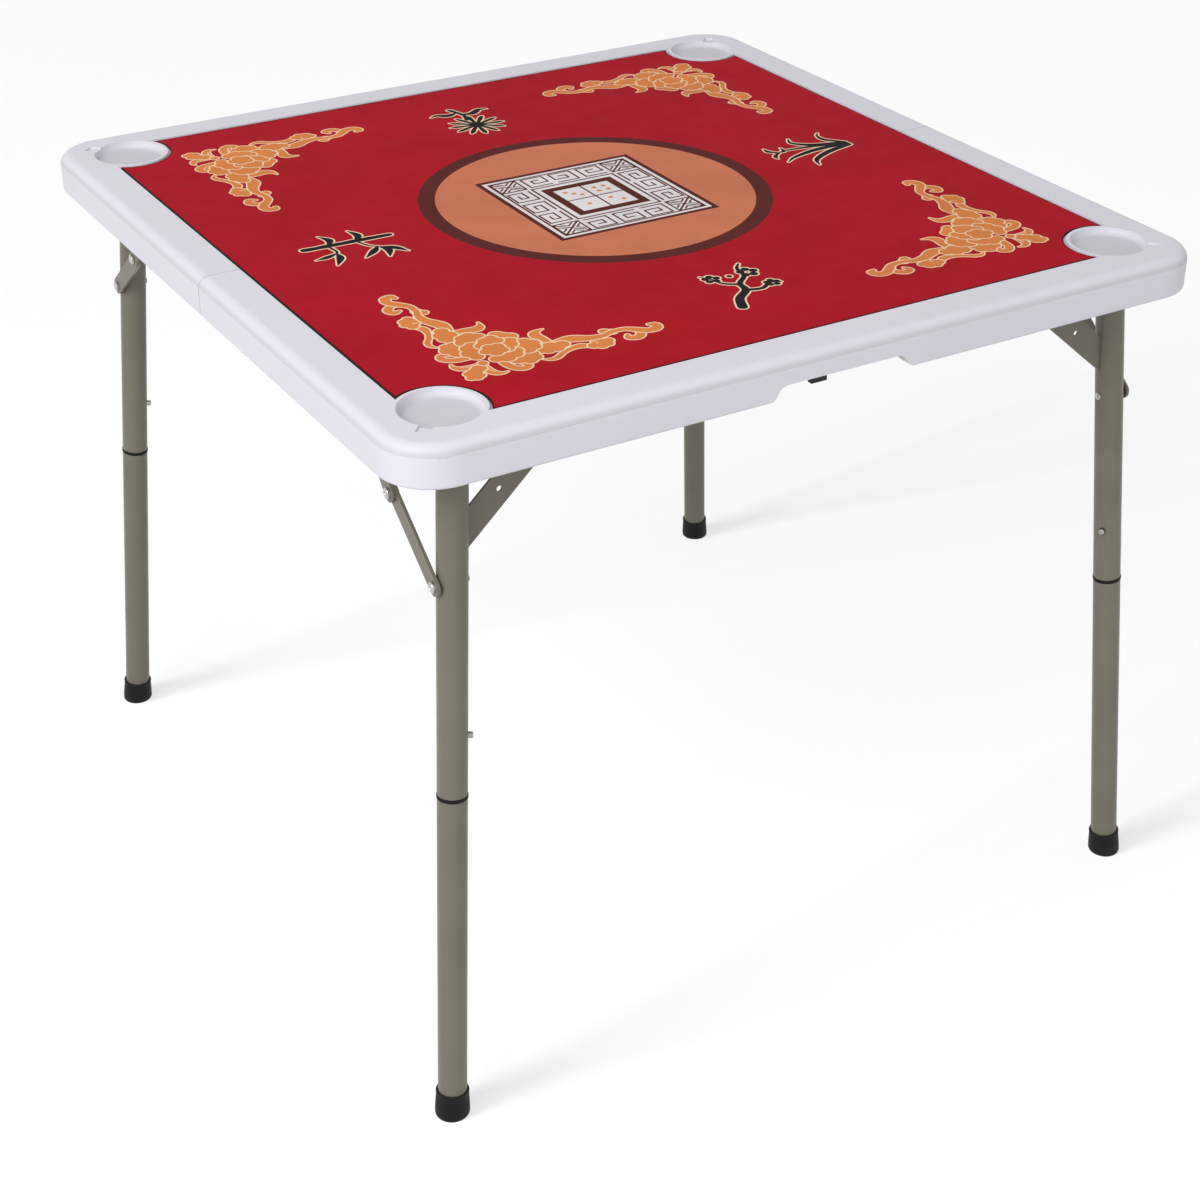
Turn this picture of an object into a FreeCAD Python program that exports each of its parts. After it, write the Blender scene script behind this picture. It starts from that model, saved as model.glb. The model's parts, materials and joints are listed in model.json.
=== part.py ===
import FreeCAD
import Part
import math
import os

from FreeCAD import Placement, Rotation, Vector

# Folding square game table, millimetres and degrees.
# +X runs along the front edge, +Y from front to back, +Z up, origin on the floor under the middle.

SIZES = (
    # overall
    ("table_width", 880),
    ("table_depth", 880),
    ("table_height", 724),
    # moulded tray halves
    ("apron_height", 40),
    ("apron_wall", 16),
    ("seam_wall", 16.5),
    ("seam_gap", 1),
    ("deck_wall", 8),
    ("corner_radius", 52),
    ("rim_round", 12),
    ("apron_round", 3),
    ("rim_width", 43.5),
    ("recess_depth", 3),
    # cup dishes in the corners
    ("dish_radius", 38),
    ("dish_depth", 8),
    ("dish_inset", 70),
    ("dish_round", 5),
    ("dish_land", 3.5),
    ("drain_width", 13),
    ("drain_length", 12),
    ("drain_depth", 2),
    # handle notches in the apron
    ("notch_top_width", 120),
    ("notch_bottom_width", 166),
    ("notch_depth", 14.7),
    ("notch_lead", 1),
    # playing mat
    ("mat_thickness", 2.2),
    ("mat_gap", 2),
    # seam hinges
    ("hinge_spacing", 280),
    ("hinge_length", 60),
    ("hinge_knuckle", 20),
    ("hinge_radius", 4),
    ("hinge_pin_radius", 2),
    ("hinge_leaf_width", 14.5),
    ("hinge_leaf_thickness", 2),
    ("hinge_clearance", 0.4),
    # leg frames
    ("pivot_inset", 58),
    ("leg_inset", 74),
    ("side_splay", 4.2),
    ("end_splay", 4.05),
    ("tube_radius", 14.3),
    ("tube_wall", 1.2),
    ("bar_radius", 11),
    ("bar_wall", 1.5),
    ("bar_end_gap", 11),
    ("fold_clearance", 0.4),
    ("weld_gap", 0.1),
    ("gusset_drop", 99),
    ("gusset_run", 106),
    ("gusset_width", 27),
    ("gusset_thickness", 2.5),
    ("gusset_hole_radius", 2.75),
    ("gusset_hole_reach", 86),
    # pivot brackets
    ("bracket_width", 12),
    ("bracket_wall", 3.4),
    ("bracket_flange", 52),
    ("bracket_plate", 2),
    # knee braces
    ("brace_drop", 132.6),
    ("knee_inset", 66),
    ("knee_drop", 73.3),
    ("anchor_inset", 116),
    ("anchor_drop", 11.5),
    ("link_width", 18),
    ("link_thickness", 3),
    ("link_gap", 1.3),
    ("link_play", 0.3),
    ("rivet_radius", 3),
    ("rivet_head_radius", 5.5),
    ("rivet_head", 2),
    ("rivet_inner_head", 0.9),
    ("anchor_plate", 3),
    ("anchor_flange_width", 20),
    ("anchor_flange_length", 40),
    # lower legs
    ("collar_drop", 344),
    ("collar_height", 4),
    ("collar_proud", 0.5),
    ("plug_wall", 1.2),
    ("plug_reach_up", 94),
    ("plug_reach_down", 42),
    ("tube_edge_round", 1),
    ("foot_height", 28),
    ("foot_floor", 6),
    ("foot_wall_top", 1.4),
    ("foot_wall_bottom", 2.6),
    # snap buttons
    ("button_drop", 284),
    ("button_radius", 3.1),
    ("button_reach", 4.6),
    ("button_turn", 28),
    ("button_dome", 1.2),
    ("button_flange_radius", 6),
    ("button_flange", 1.2),
    ("button_flange_depth", 4.6),
    ("leaf_width", 6),
    ("leaf_thickness", 0.7),
    ("leaf_length", 34),
    # carry handle
    ("handle_width", 108),
    ("handle_length", 78),
    ("handle_arm_width", 8),
    ("handle_arm_height", 9),
    ("handle_boss_radius", 6),
    ("grip_radius", 7),
    ("handle_pivot_inset", 27),
    ("handle_pivot_drop", 22),
    ("handle_tilt", 18.5),
    ("handle_pin_radius", 3),
    ("handle_base_plate", 4),
    ("handle_base_depth", 19),
    ("handle_ear_width", 6),
    ("handle_lug_width", 17),
    ("handle_lug_offset", 15.5),
    ("handle_lug_height", 24.5),
    ("handle_lug_depth", 6),
    # screws
    ("screw_radius", 3.2),
    ("screw_head", 1.2),
    ("screw_edge", 6),
    # fits
    ("running_fit", 0.05),
    ("slide_fit", 0.08),
    ("seat_gap", 0.15),
    ("overrun", 5),
)

os.makedirs("parts", exist_ok=True)
doc = FreeCAD.newDocument("folding_table")
sheet = doc.addObject("Spreadsheet::Sheet", "Sizes")
for row, (alias, number) in enumerate(SIZES, start=1):
    sheet.set(f"A{row}", alias)
    sheet.set(f"B{row}", str(number))
    sheet.setAlias(f"B{row}", alias)
doc.recompute()
nodes = []


def size(alias):
    """A named size read back from the sheet."""
    return float(getattr(sheet, alias))


def bind(thing, **formulas):
    """Binds properties to sheet cells; each word that is an alias is read from the sheet."""
    for prop, formula in formulas.items():
        words = formula.replace("(", " ( ").replace(")", " ) ").split()
        text = " ".join(f"Sizes.{w}" if hasattr(sheet, w) and w[0].isalpha() else w for w in words)
        thing.setExpression(prop, text)
    return thing


def box(name, place=None, **formulas):
    thing = bind(doc.addObject("Part::Box", name), **formulas)
    thing.Placement = place or Placement()
    return thing


def rod(name, place=None, **formulas):
    thing = bind(doc.addObject("Part::Cylinder", name), **formulas)
    thing.Placement = place or Placement()
    return thing


def cone(name, place=None, **formulas):
    thing = bind(doc.addObject("Part::Cone", name), **formulas)
    thing.Placement = place or Placement()
    return thing


def fuse(name, *things):
    thing = doc.addObject("Part::MultiFuse", name)
    thing.Shapes = list(things)
    return thing


def cut(name, base, *tools):
    thing = doc.addObject("Part::Cut", name)
    thing.Base = base
    thing.Tool = tools[0] if len(tools) == 1 else fuse(name + "_tools", *tools)
    return thing


def group(name, *things):
    thing = doc.addObject("Part::Compound", name)
    thing.Links = list(things)
    return thing


def rounded(name, base, radius, wanted):
    """Fillets every edge that the test accepts."""
    doc.recompute()
    thing = doc.addObject("Part::Fillet", name)
    thing.Base = base
    picked = [n for n, edge in enumerate(base.Shape.Edges, start=1) if wanted(edge)]
    thing.Edges = [(n, radius, radius) for n in picked]
    doc.recompute()
    return thing


def node(thing, label):
    """Marks an object as a sub-part that is written out."""
    thing.Label = label
    nodes.append(thing)
    return thing


def at(x, y, z, axis=None, angle=0):
    """A placement at a point, turned about an axis by an angle in degrees."""
    return Placement(Vector(x, y, z), Rotation(axis or Vector(0, 0, 1), angle))


X_AXIS = Vector(1, 0, 0)
Y_AXIS = Vector(0, 1, 0)
Z_AXIS = Vector(0, 0, 1)
ALONG_X = Rotation(Y_AXIS, 90)
TURNS = (("front", at(0, 0, 0)), ("back", at(0, 0, 0, Z_AXIS, 180)))


def lying(x, y, z):
    """A placement whose quarter turn lays a rod along +X from a point."""
    return Placement(Vector(x, y, z), ALONG_X)


# Heights and places that several pieces share
half_width = size("table_width") / 2
half_depth = size("table_depth") / 2
top = size("table_height")
apron_bottom = top - size("apron_height")
recess_floor = top - size("recess_depth")
deck_under = recess_floor - size("deck_wall")
inner_x = half_width - size("apron_wall")
inner_y = half_depth - size("apron_wall")
recess_x = half_width - size("rim_width")
recess_y = half_depth - size("rim_width")
dish_x = half_width - size("dish_inset")
dish_y = half_depth - size("dish_inset")
seam = size("seam_gap") / 2
over = size("overrun")
hinge_places = (-size("hinge_spacing"), 0, size("hinge_spacing"))

pivot_y = -(half_depth - size("pivot_inset"))
pivot_z = deck_under - size("tube_radius") - size("fold_clearance")
leg_x = half_width - size("leg_inset")
bar_half = inner_x - size("bar_end_gap")
frame_place = at(0, pivot_y, pivot_z, X_AXIS, -size("end_splay"))
side_tilt = math.radians(size("side_splay"))
end_tilt = math.radians(size("end_splay"))
leg_length = pivot_z / (math.cos(side_tilt) * math.cos(end_tilt))
collar_end = size("collar_drop") + size("collar_height")
tube_end = leg_length - size("foot_floor")
SIDES = (("left", -1), ("right", 1))
BAR = "table_width - 2 * apron_wall - 2 * bar_end_gap"


def leg_place(side):
    """The frame's own placement of a leg, whose axis runs down from the crossbar."""
    return at(side * leg_x, 0, 0, Y_AXIS, -side * size("side_splay"))


def leg_name(end, side_name):
    """Corner names swap sides on the back frame, which is the front one turned half round."""
    if end == "front":
        return f"front_{side_name}"
    return "back_right" if side_name == "left" else "back_left"


# Tray halves
def tray(end, turn):
    body = box(f"{end}_tray_block", at(-half_width, -half_depth, apron_bottom),
               Length="table_width", Width="table_depth / 2 - seam_gap / 2", Height="apron_height")
    corner = size("corner_radius")

    def upright_outer(edge):
        b = edge.BoundBox
        return b.ZLength > size("apron_height") / 2 and b.YMax < -half_depth / 2

    body = rounded(f"{end}_tray_corners", body, corner, upright_outer)

    def rim_edge(edge):
        b = edge.BoundBox
        flat = b.ZLength < size("apron_height") / 2 and b.ZMin > top - size("apron_height") / 2
        return flat and b.YMin < -seam * 2

    body = rounded(f"{end}_tray_rim", body, size("rim_round"), rim_edge)

    def foot_edge(edge):
        b = edge.BoundBox
        flat = b.ZLength < size("apron_height") / 2 and b.ZMax < apron_bottom + size("apron_height") / 4
        return flat and b.YMin < -seam * 2

    body = rounded(f"{end}_tray_foot", body, size("apron_round"), foot_edge)

    hollow = box(f"{end}_hollow_block", at(-inner_x, -inner_y, apron_bottom - over),
                 Length="table_width - 2 * apron_wall",
                 Width="table_depth / 2 - apron_wall - seam_wall - seam_gap / 2",
                 Height="apron_height - recess_depth - deck_wall + overrun")
    inner_corner = size("corner_radius") - size("apron_wall")

    def upright(edge):
        return edge.BoundBox.ZLength > size("apron_height") / 2 and edge.BoundBox.YMax < -half_depth / 2

    hollow = rounded(f"{end}_hollow", hollow, inner_corner, upright)

    recess = box(f"{end}_recess_block", at(-recess_x, -recess_y, recess_floor),
                 Length="table_width - 2 * rim_width", Width="table_depth / 2 - rim_width + overrun",
                 Height="recess_depth + overrun")
    lands = [rod(f"{end}_land_{name}", at(side * dish_x, -dish_y, recess_floor - over),
                 Radius="dish_radius + dish_land", Height="recess_depth + 3 * overrun")
             for name, side in SIDES]
    recess = cut(f"{end}_recess", recess, *lands)

    tools = [hollow, recess]
    for name, side in SIDES:
        dish = rod(f"{end}_dish_block_{name}", at(side * dish_x, -dish_y, top - size("dish_depth")),
                   Radius="dish_radius", Height="dish_depth + overrun")

        def floor_edge(edge):
            b = edge.BoundBox
            return b.ZMax < top - size("dish_depth") / 2 and b.ZLength < size("dish_depth") / 2

        tools.append(rounded(f"{end}_dish_{name}", dish, size("dish_round"), floor_edge))
        toward = 45 if side > 0 else 135
        slot = Placement(Vector(side * dish_x, -dish_y, top - size("drain_depth")),
                         Rotation(Z_AXIS, -toward))
        shift = Placement(Vector(0, -size("drain_width") / 2, 0), Rotation())
        tools.append(box(f"{end}_drain_{name}", slot.multiply(shift), Length="dish_radius + drain_length",
                         Width="drain_width", Height="drain_depth + overrun"))

    run = (size("notch_bottom_width") - size("notch_top_width")) / 2
    bend = (run ** 2 + size("notch_depth") ** 2) / (4 * size("notch_depth"))
    bend_rule = "((notch_bottom_width - notch_top_width) ^ 2 / 4 + notch_depth ^ 2) / (4 * notch_depth)"
    through = "apron_wall + 2 * overrun"
    top_half = size("notch_top_width") / 2
    mouth_half = top_half + run
    behind = -inner_y + over
    tools.append(box(f"{end}_notch_block", at(-top_half, -half_depth - over, apron_bottom - over),
                     Length="notch_top_width", Width=through, Height="notch_depth + overrun"))
    for name, side in SIDES:
        tools.append(rod(f"{end}_notch_bend_{name}",
                         at(side * top_half, behind, apron_bottom + size("notch_depth") - bend, X_AXIS, 90),
                         Radius=bend_rule, Height=through))
        near = top_half if side > 0 else -mouth_half + size("notch_lead")
        flare = box(f"{end}_notch_flare_{name}", at(near, -half_depth - over, apron_bottom - over),
                    Length="(notch_bottom_width - notch_top_width) / 2 - notch_lead", Width=through,
                    Height="notch_depth / 2 + overrun")
        heel = rod(f"{end}_notch_heel_{name}",
                   at(side * mouth_half, behind + over, apron_bottom + bend, X_AXIS, 90),
                   Radius=bend_rule, Height="apron_wall + 4 * overrun")
        tools.append(cut(f"{end}_notch_end_{name}", flare, heel))

    for n, x in enumerate(hinge_places):
        reach = size("hinge_length") / 2 + size("hinge_clearance")
        tools.append(box(f"{end}_leaf_pocket_{n}",
                         at(x - reach, -size("hinge_leaf_width") - size("hinge_clearance"),
                            apron_bottom - over),
                         Length="hinge_length + 2 * hinge_clearance",
                         Width="hinge_leaf_width + hinge_clearance",
                         Height="hinge_leaf_thickness + overrun"))
        tools.append(rod(f"{end}_barrel_channel_{n}", lying(x - reach, 0, apron_bottom),
                         Radius="hinge_radius + 2 * hinge_clearance",
                         Height="hinge_length + 2 * hinge_clearance"))
    half = cut(f"{end}_tray", body, *tools)
    half.Placement = turn
    node(half, f"{end}_top")


# Playing mat, laid in the recess with its corners cut round the dishes
def mat():
    sheet_block = box("mat_block",
                      at(-recess_x + size("mat_gap"), -recess_y + size("mat_gap"), recess_floor),
                      Length="table_width - 2 * rim_width - 2 * mat_gap",
                      Width="table_depth - 2 * rim_width - 2 * mat_gap", Height="mat_thickness")
    corners = []
    for end, y in (("front", -dish_y), ("back", dish_y)):
        for name, side in SIDES:
            corners.append(rod(f"mat_corner_{end}_{name}", at(side * dish_x, y, recess_floor - over),
                               Radius="dish_radius + dish_land + mat_gap",
                               Height="mat_thickness + 2 * overrun"))
    node(cut("mat", sheet_block, *corners), "playing_mat")


# Seam hinges, hung on the line where the two aprons meet
def hinges():
    length = size("hinge_length")
    knuckle = size("hinge_knuckle")
    play = size("hinge_clearance")
    leaves = {"front": [], "back": []}
    pins = []
    for n, x in enumerate(hinge_places):
        for end, turn in TURNS:
            outer = ((-length / 2, "side"), (length / 2 - knuckle, "side"))
            middle = ((-knuckle / 2, "mid"),)
            own, other = (outer, middle) if end == "front" else (middle, outer)
            sign = 1 if end == "front" else -1
            plate = box(f"{end}_leaf_plate_{n}",
                        at(x - length / 2, -size("hinge_leaf_width") if sign > 0 else 0, apron_bottom),
                        Length="hinge_length", Width="hinge_leaf_width", Height="hinge_leaf_thickness")
            rooms = [rod(f"{end}_leaf_room_{n}_{m}", lying(x + start - play, 0, apron_bottom),
                         Radius="hinge_radius + hinge_clearance",
                         Height="hinge_knuckle + 2 * hinge_clearance")
                     for m, (start, kind) in enumerate(other)]
            plate = cut(f"{end}_leaf_clear_{n}", plate, *rooms)
            barrels = [rod(f"{end}_leaf_barrel_{n}_{m}",
                           lying(x + start + (play / 2 if kind == "mid" else 0), 0, apron_bottom),
                           Radius="hinge_radius",
                           Height="hinge_knuckle - hinge_clearance" if kind == "mid" else "hinge_knuckle")
                       for m, (start, kind) in enumerate(own)]
            solid = fuse(f"{end}_leaf_solid_{n}", plate, *barrels)
            bore = rod(f"{end}_leaf_bore_{n}", lying(x - length / 2 - over, 0, apron_bottom),
                       Radius="hinge_pin_radius + running_fit", Height="hinge_length + 2 * overrun")
            leaves[end].append(cut(f"{end}_leaf_{n}", solid, bore))
        pins.append(rod(f"hinge_pin_{n}", lying(x - length / 2, 0, apron_bottom),
                        Radius="hinge_pin_radius", Height="hinge_length"))
    for end in leaves:
        node(group(f"{end}_leaves", *leaves[end]), f"{end}_hinge_leaves")
    node(group("pins", *pins), "hinge_pins")


# Leg frames, built flat about the crossbar axis and then hung and splayed
def leg_frame(end, turn):
    place = turn.multiply(frame_place)
    bar = cut(f"{end}_bar", rod(f"{end}_bar_out", lying(-bar_half, 0, 0), Radius="bar_radius", Height=BAR),
              rod(f"{end}_bar_in", lying(-bar_half - over, 0, 0), Radius="bar_radius - bar_wall",
                  Height=BAR + " + 2 * overrun"))
    bar.Placement = place
    node(bar, f"{end}_crossbar")

    strips = []
    rivets = []
    for name, side in SIDES:
        corner = leg_name(end, name)
        local = leg_place(side)
        back = local.inverse()
        outside = rod(f"{corner}_upper_out", at(0, 0, -size("collar_drop")), Radius="tube_radius",
                      Height="collar_drop")
        inside = rod(f"{corner}_upper_in", at(0, 0, -size("collar_drop") - over),
                     Radius="tube_radius - tube_wall",
                     Height="collar_drop + 2 * overrun")
        saddle = rod(f"{corner}_saddle", back.multiply(lying(-bar_half, 0, 0)),
                     Radius="bar_radius + weld_gap",
                     Height=BAR)
        drill = rod(f"{corner}_brace_drill", back.multiply(lying(0, 0, -size("brace_drop"))),
                    Radius="rivet_radius + running_fit", Height="table_width / 2")
        if side < 0:
            drill.Placement = back.multiply(lying(-half_width, 0, -size("brace_drop")))
        window = rod(f"{corner}_button_window", button_place(end, side, 0),
                     Radius="button_radius + 2 * seat_gap",
                     Height="tube_radius + overrun")
        leg = cut(f"{corner}_upper", outside, inside, saddle, drill, window)
        leg.Placement = place.multiply(local)
        node(leg, f"{corner}_upper_leg")

        # gusset strip from the leg up to the crossbar
        low_x = leg_x + size("gusset_drop") * math.tan(side_tilt)
        high_x = leg_x - size("gusset_run")
        angle = math.degrees(math.atan2(size("gusset_drop"), low_x - high_x))
        reach = math.hypot(size("gusset_drop"), low_x - high_x)
        lay = at(side * high_x, 0, 0, Y_AXIS, angle if side > 0 else 180 - angle)
        strip = box(f"{corner}_gusset_block",
                    lay.multiply(at(0, -size("gusset_thickness") / 2, -size("gusset_width") / 2)),
                    Width="gusset_thickness", Height="gusset_width")
        strip.Length = reach
        trims = [rod(f"{corner}_gusset_leg", local.multiply(at(0, 0, -size("collar_drop"))),
                     Radius="tube_radius + weld_gap", Height="collar_drop"),
                 rod(f"{corner}_gusset_bar", lying(-bar_half, 0, 0), Radius="bar_radius + weld_gap",
                     Height=BAR),
                 rod(f"{corner}_gusset_hole",
                     lay.multiply(Placement(Vector(size("gusset_hole_reach"), size("gusset_thickness"), 0),
                                            Rotation(X_AXIS, 90))),
                     Radius="gusset_hole_radius", Height="2 * gusset_thickness")]
        strips.append(cut(f"{corner}_gusset", strip, *trims))

        # rivet that carries the brace, right through the leg
        wall_in, wall_out, link_in = brace_planes()
        low = wall_in - size("seat_gap") - size("rivet_head_radius") * math.tan(side_tilt)
        long = link_in + size("link_thickness") + size("seat_gap") - low
        shank = rod(f"{corner}_rivet_shank", lying(low, 0, 0), Radius="rivet_radius")
        shank.Height = long
        inner = rod(f"{corner}_rivet_inner", lying(low - size("rivet_inner_head"), 0, 0),
                    Radius="rivet_head_radius", Height="rivet_inner_head")
        outer = rod(f"{corner}_rivet_outer", lying(low + long, 0, 0), Radius="rivet_head_radius",
                    Height="rivet_head")
        rivet = fuse(f"{corner}_rivet", shank, inner, outer)
        rivet.Placement = at(0, 0, -size("brace_drop"), Z_AXIS, 0 if side > 0 else 180)
        rivets.append(rivet)
    frame = group(f"{end}_strips", *strips)
    frame.Placement = place
    node(frame, f"{end}_gussets")
    studs = group(f"{end}_rivets", *rivets)
    studs.Placement = place
    node(studs, f"{end}_leg_rivets")


def brace_planes():
    """Distances from the middle plane to the leg's two sides at the brace rivet and to the link."""
    middle = leg_x + size("brace_drop") * math.tan(side_tilt)
    across = size("tube_radius") / math.cos(side_tilt)
    return middle - across, middle + across, middle + across + size("link_gap")


def button_place(end, side, start):
    """A rod placement in the leg's frame that points out through the button hole."""
    sign = 1 if end == "front" else -1
    inward = Rotation(Z_AXIS, 180 if side > 0 else 0)
    turned = Rotation(Z_AXIS, sign * size("button_turn") * side)
    spin = turned.multiply(inward).multiply(ALONG_X)
    ahead = spin.multVec(Vector(0, 0, start))
    return Placement(Vector(ahead.x, ahead.y, -size("button_drop")), spin)


# Knee braces: points in the plane across the crossbar, at rest
brace_foot = frame_place.multVec(Vector(0, 0, -size("brace_drop")))
knee = Vector(0, pivot_y + size("knee_inset"), pivot_z - size("knee_drop"))
anchor = Vector(0, pivot_y + size("anchor_inset"), pivot_z - size("anchor_drop"))


def bar_link(name, start, finish, low_x, side, turn, hole_start, hole_finish, boss):
    """A flat link with round ends between two points of the brace plane."""
    run = finish.sub(start)
    angle = math.degrees(math.atan2(run.z, run.y))
    near = low_x if side > 0 else -low_x - size("link_thickness")
    strip = box(f"{name}_bar", at(0, 0, -size("link_width") / 2), Length="link_thickness",
                Height="link_width")
    strip.Width = run.Length
    pieces = [strip, rod(f"{name}_end_a", lying(0, 0, 0), Radius="link_width / 2", Height="link_thickness"),
              rod(f"{name}_end_b", lying(0, run.Length, 0), Radius="link_width / 2",
                  Height="link_thickness")]
    if boss:
        start_x = -size("rivet_head") if side > 0 else size("link_thickness")
        pieces.append(rod(f"{name}_boss", lying(start_x, run.Length, 0), Radius="rivet_head_radius",
                          Height="rivet_head"))
    solid = fuse(f"{name}_solid", *pieces)
    holes = []
    if hole_start:
        holes.append(rod(f"{name}_hole_a", lying(-over, 0, 0), Radius="rivet_radius + running_fit",
                         Height="link_thickness + 2 * overrun"))
    if hole_finish:
        holes.append(rod(f"{name}_hole_b", lying(-over, run.Length, 0), Radius="rivet_radius + running_fit",
                         Height="link_thickness + 2 * overrun"))
    link = cut(name, solid, *holes)
    link.Placement = turn.multiply(at(near, start.y, start.z, X_AXIS, angle))
    return link


def knee_braces(end, turn):
    plates = []
    studs = []
    screws = []
    wall_in, wall_out, lower_in = brace_planes()
    upper_in = lower_in + size("link_thickness") + size("link_play")
    upper_out = upper_in + size("link_thickness")
    plate_in = upper_out + size("link_play")
    for name, side in SIDES:
        corner = leg_name(end, name)
        node(bar_link(f"{corner}_lower", brace_foot, knee, lower_in, side, turn, True, False, True),
             f"{corner}_lower_link")
        node(bar_link(f"{corner}_upper_bar", anchor, knee, upper_in, side, turn, True, True, False),
             f"{corner}_upper_link")

        mirror = at(0, 0, 0) if side > 0 else at(0, 0, 0, Z_AXIS, 180)
        flip = 1 if side > 0 else -1
        # the half of the knee rivet that belongs to the upper link
        head = rod(f"{corner}_knee_head", lying(upper_out + size("seat_gap"), knee.y * flip, knee.z),
                   Radius="rivet_head_radius", Height="rivet_head")
        shank = rod(f"{corner}_knee_shank", lying(upper_in, knee.y * flip, knee.z), Radius="rivet_radius",
                    Height="link_thickness + seat_gap")
        stud = fuse(f"{corner}_knee", head, shank)
        stud.Placement = turn.multiply(mirror)
        node(stud, f"{corner}_knee_rivet")

        # anchor plate under the deck and its rivet
        drop = deck_under - anchor.z
        half = size("link_width") / 2
        cheek = box(f"{corner}_cheek", at(plate_in, anchor.y * flip - half, anchor.z),
                    Length="anchor_plate",
                    Width="link_width")
        cheek.Height = drop
        nose = rod(f"{corner}_nose", lying(plate_in, anchor.y * flip, anchor.z), Radius="link_width / 2",
                   Height="anchor_plate")
        flange = box(f"{corner}_flange",
                     at(plate_in, anchor.y * flip - size("anchor_flange_length") / 2,
                        deck_under - size("bracket_plate")),
                     Length="anchor_flange_width", Width="anchor_flange_length", Height="bracket_plate")
        eye = rod(f"{corner}_eye", lying(plate_in - over, anchor.y * flip, anchor.z),
                  Radius="rivet_radius + running_fit",
                  Height="anchor_plate + 2 * overrun")
        plate = cut(f"{corner}_anchor", fuse(f"{corner}_anchor_solid", cheek, nose, flange), eye)
        plate.Placement = mirror
        plates.append(plate)
        pin = rod(f"{corner}_anchor_pin", lying(upper_in, anchor.y * flip, anchor.z), Radius="rivet_radius")
        pin.Height = plate_in + size("anchor_plate") + size("seat_gap") - upper_in
        cap = rod(f"{corner}_anchor_cap",
                  lying(plate_in + size("anchor_plate") + size("seat_gap"), anchor.y * flip, anchor.z),
                  Radius="rivet_head_radius", Height="rivet_head")
        rivet = fuse(f"{corner}_anchor_rivet", pin, cap)
        rivet.Placement = mirror
        studs.append(rivet)
        for m, way in enumerate((-1, 1)):
            edge = size("anchor_flange_length") / 2 - size("screw_edge")
            spot = Vector(flip * (plate_in + size("anchor_flange_width") - size("screw_edge")),
                          anchor.y + way * edge, 0)
            screws.append((f"{corner}_anchor_screw_{m}", spot, deck_under - size("bracket_plate")))
    anchors = group(f"{end}_anchors", *plates)
    anchors.Placement = turn
    node(anchors, f"{end}_brace_anchors")
    rivets = group(f"{end}_anchor_rivet_group", *studs)
    rivets.Placement = turn
    node(rivets, f"{end}_anchor_rivets")
    return screws


# Saddle brackets that the crossbar turns in
def pivot_brackets(end, turn):
    blocks = []
    screws = []
    shell = size("bar_radius") + size("bracket_wall")
    for name, side in SIDES:
        near = bar_half - size("bracket_width") if side > 0 else -bar_half
        hang = box(f"{end}_saddle_{name}", at(near, pivot_y - shell, pivot_z), Length="bracket_width",
                   Width="2 * (bar_radius + bracket_wall)")
        hang.Height = deck_under - pivot_z
        loop = rod(f"{end}_saddle_loop_{name}", lying(near, pivot_y, pivot_z),
                   Radius="bar_radius + bracket_wall",
                   Height="bracket_width")
        flange = box(f"{end}_saddle_flange_{name}",
                     at(near, pivot_y - size("bracket_flange") / 2, deck_under - size("bracket_plate")),
                     Length="bracket_width", Width="bracket_flange", Height="bracket_plate")
        bore = rod(f"{end}_saddle_bore_{name}", lying(near - over, pivot_y, pivot_z),
                   Radius="bar_radius + running_fit",
                   Height="bracket_width + 2 * overrun")
        blocks.append(cut(f"{end}_bracket_{name}",
                          fuse(f"{end}_bracket_solid_{name}", hang, loop, flange), bore))
        for m, way in enumerate((-1, 1)):
            edge = size("bracket_flange") / 2 - size("screw_edge")
            spot = Vector(near + size("bracket_width") / 2, pivot_y + way * edge, 0)
            screws.append((f"{end}_saddle_screw_{name}_{m}", spot, deck_under - size("bracket_plate")))
    brackets = group(f"{end}_brackets", *blocks)
    brackets.Placement = turn
    node(brackets, f"{end}_pivot_brackets")
    return screws


def hinge_screws(end):
    """Screw heads under the hinge leaves."""
    spots = []
    for n, x in enumerate(hinge_places):
        for m, way in enumerate((-1, 1)):
            reach = size("hinge_length") / 2 - size("screw_edge") * 2
            depth = (size("hinge_leaf_width") + size("hinge_radius")) / 2
            spots.append((f"{end}_leaf_screw_{n}_{m}", Vector(x + way * reach, -depth, 0), apron_bottom))
    return spots


def screw_heads(end, turn, spots):
    heads = []
    for name, spot, under in spots:
        heads.append(rod(name, at(spot.x, spot.y, under - size("screw_head")), Radius="screw_radius",
                         Height="screw_head"))
    cluster = group(f"{end}_screw_group", *heads)
    cluster.Placement = turn
    node(cluster, f"{end}_screws")


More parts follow.
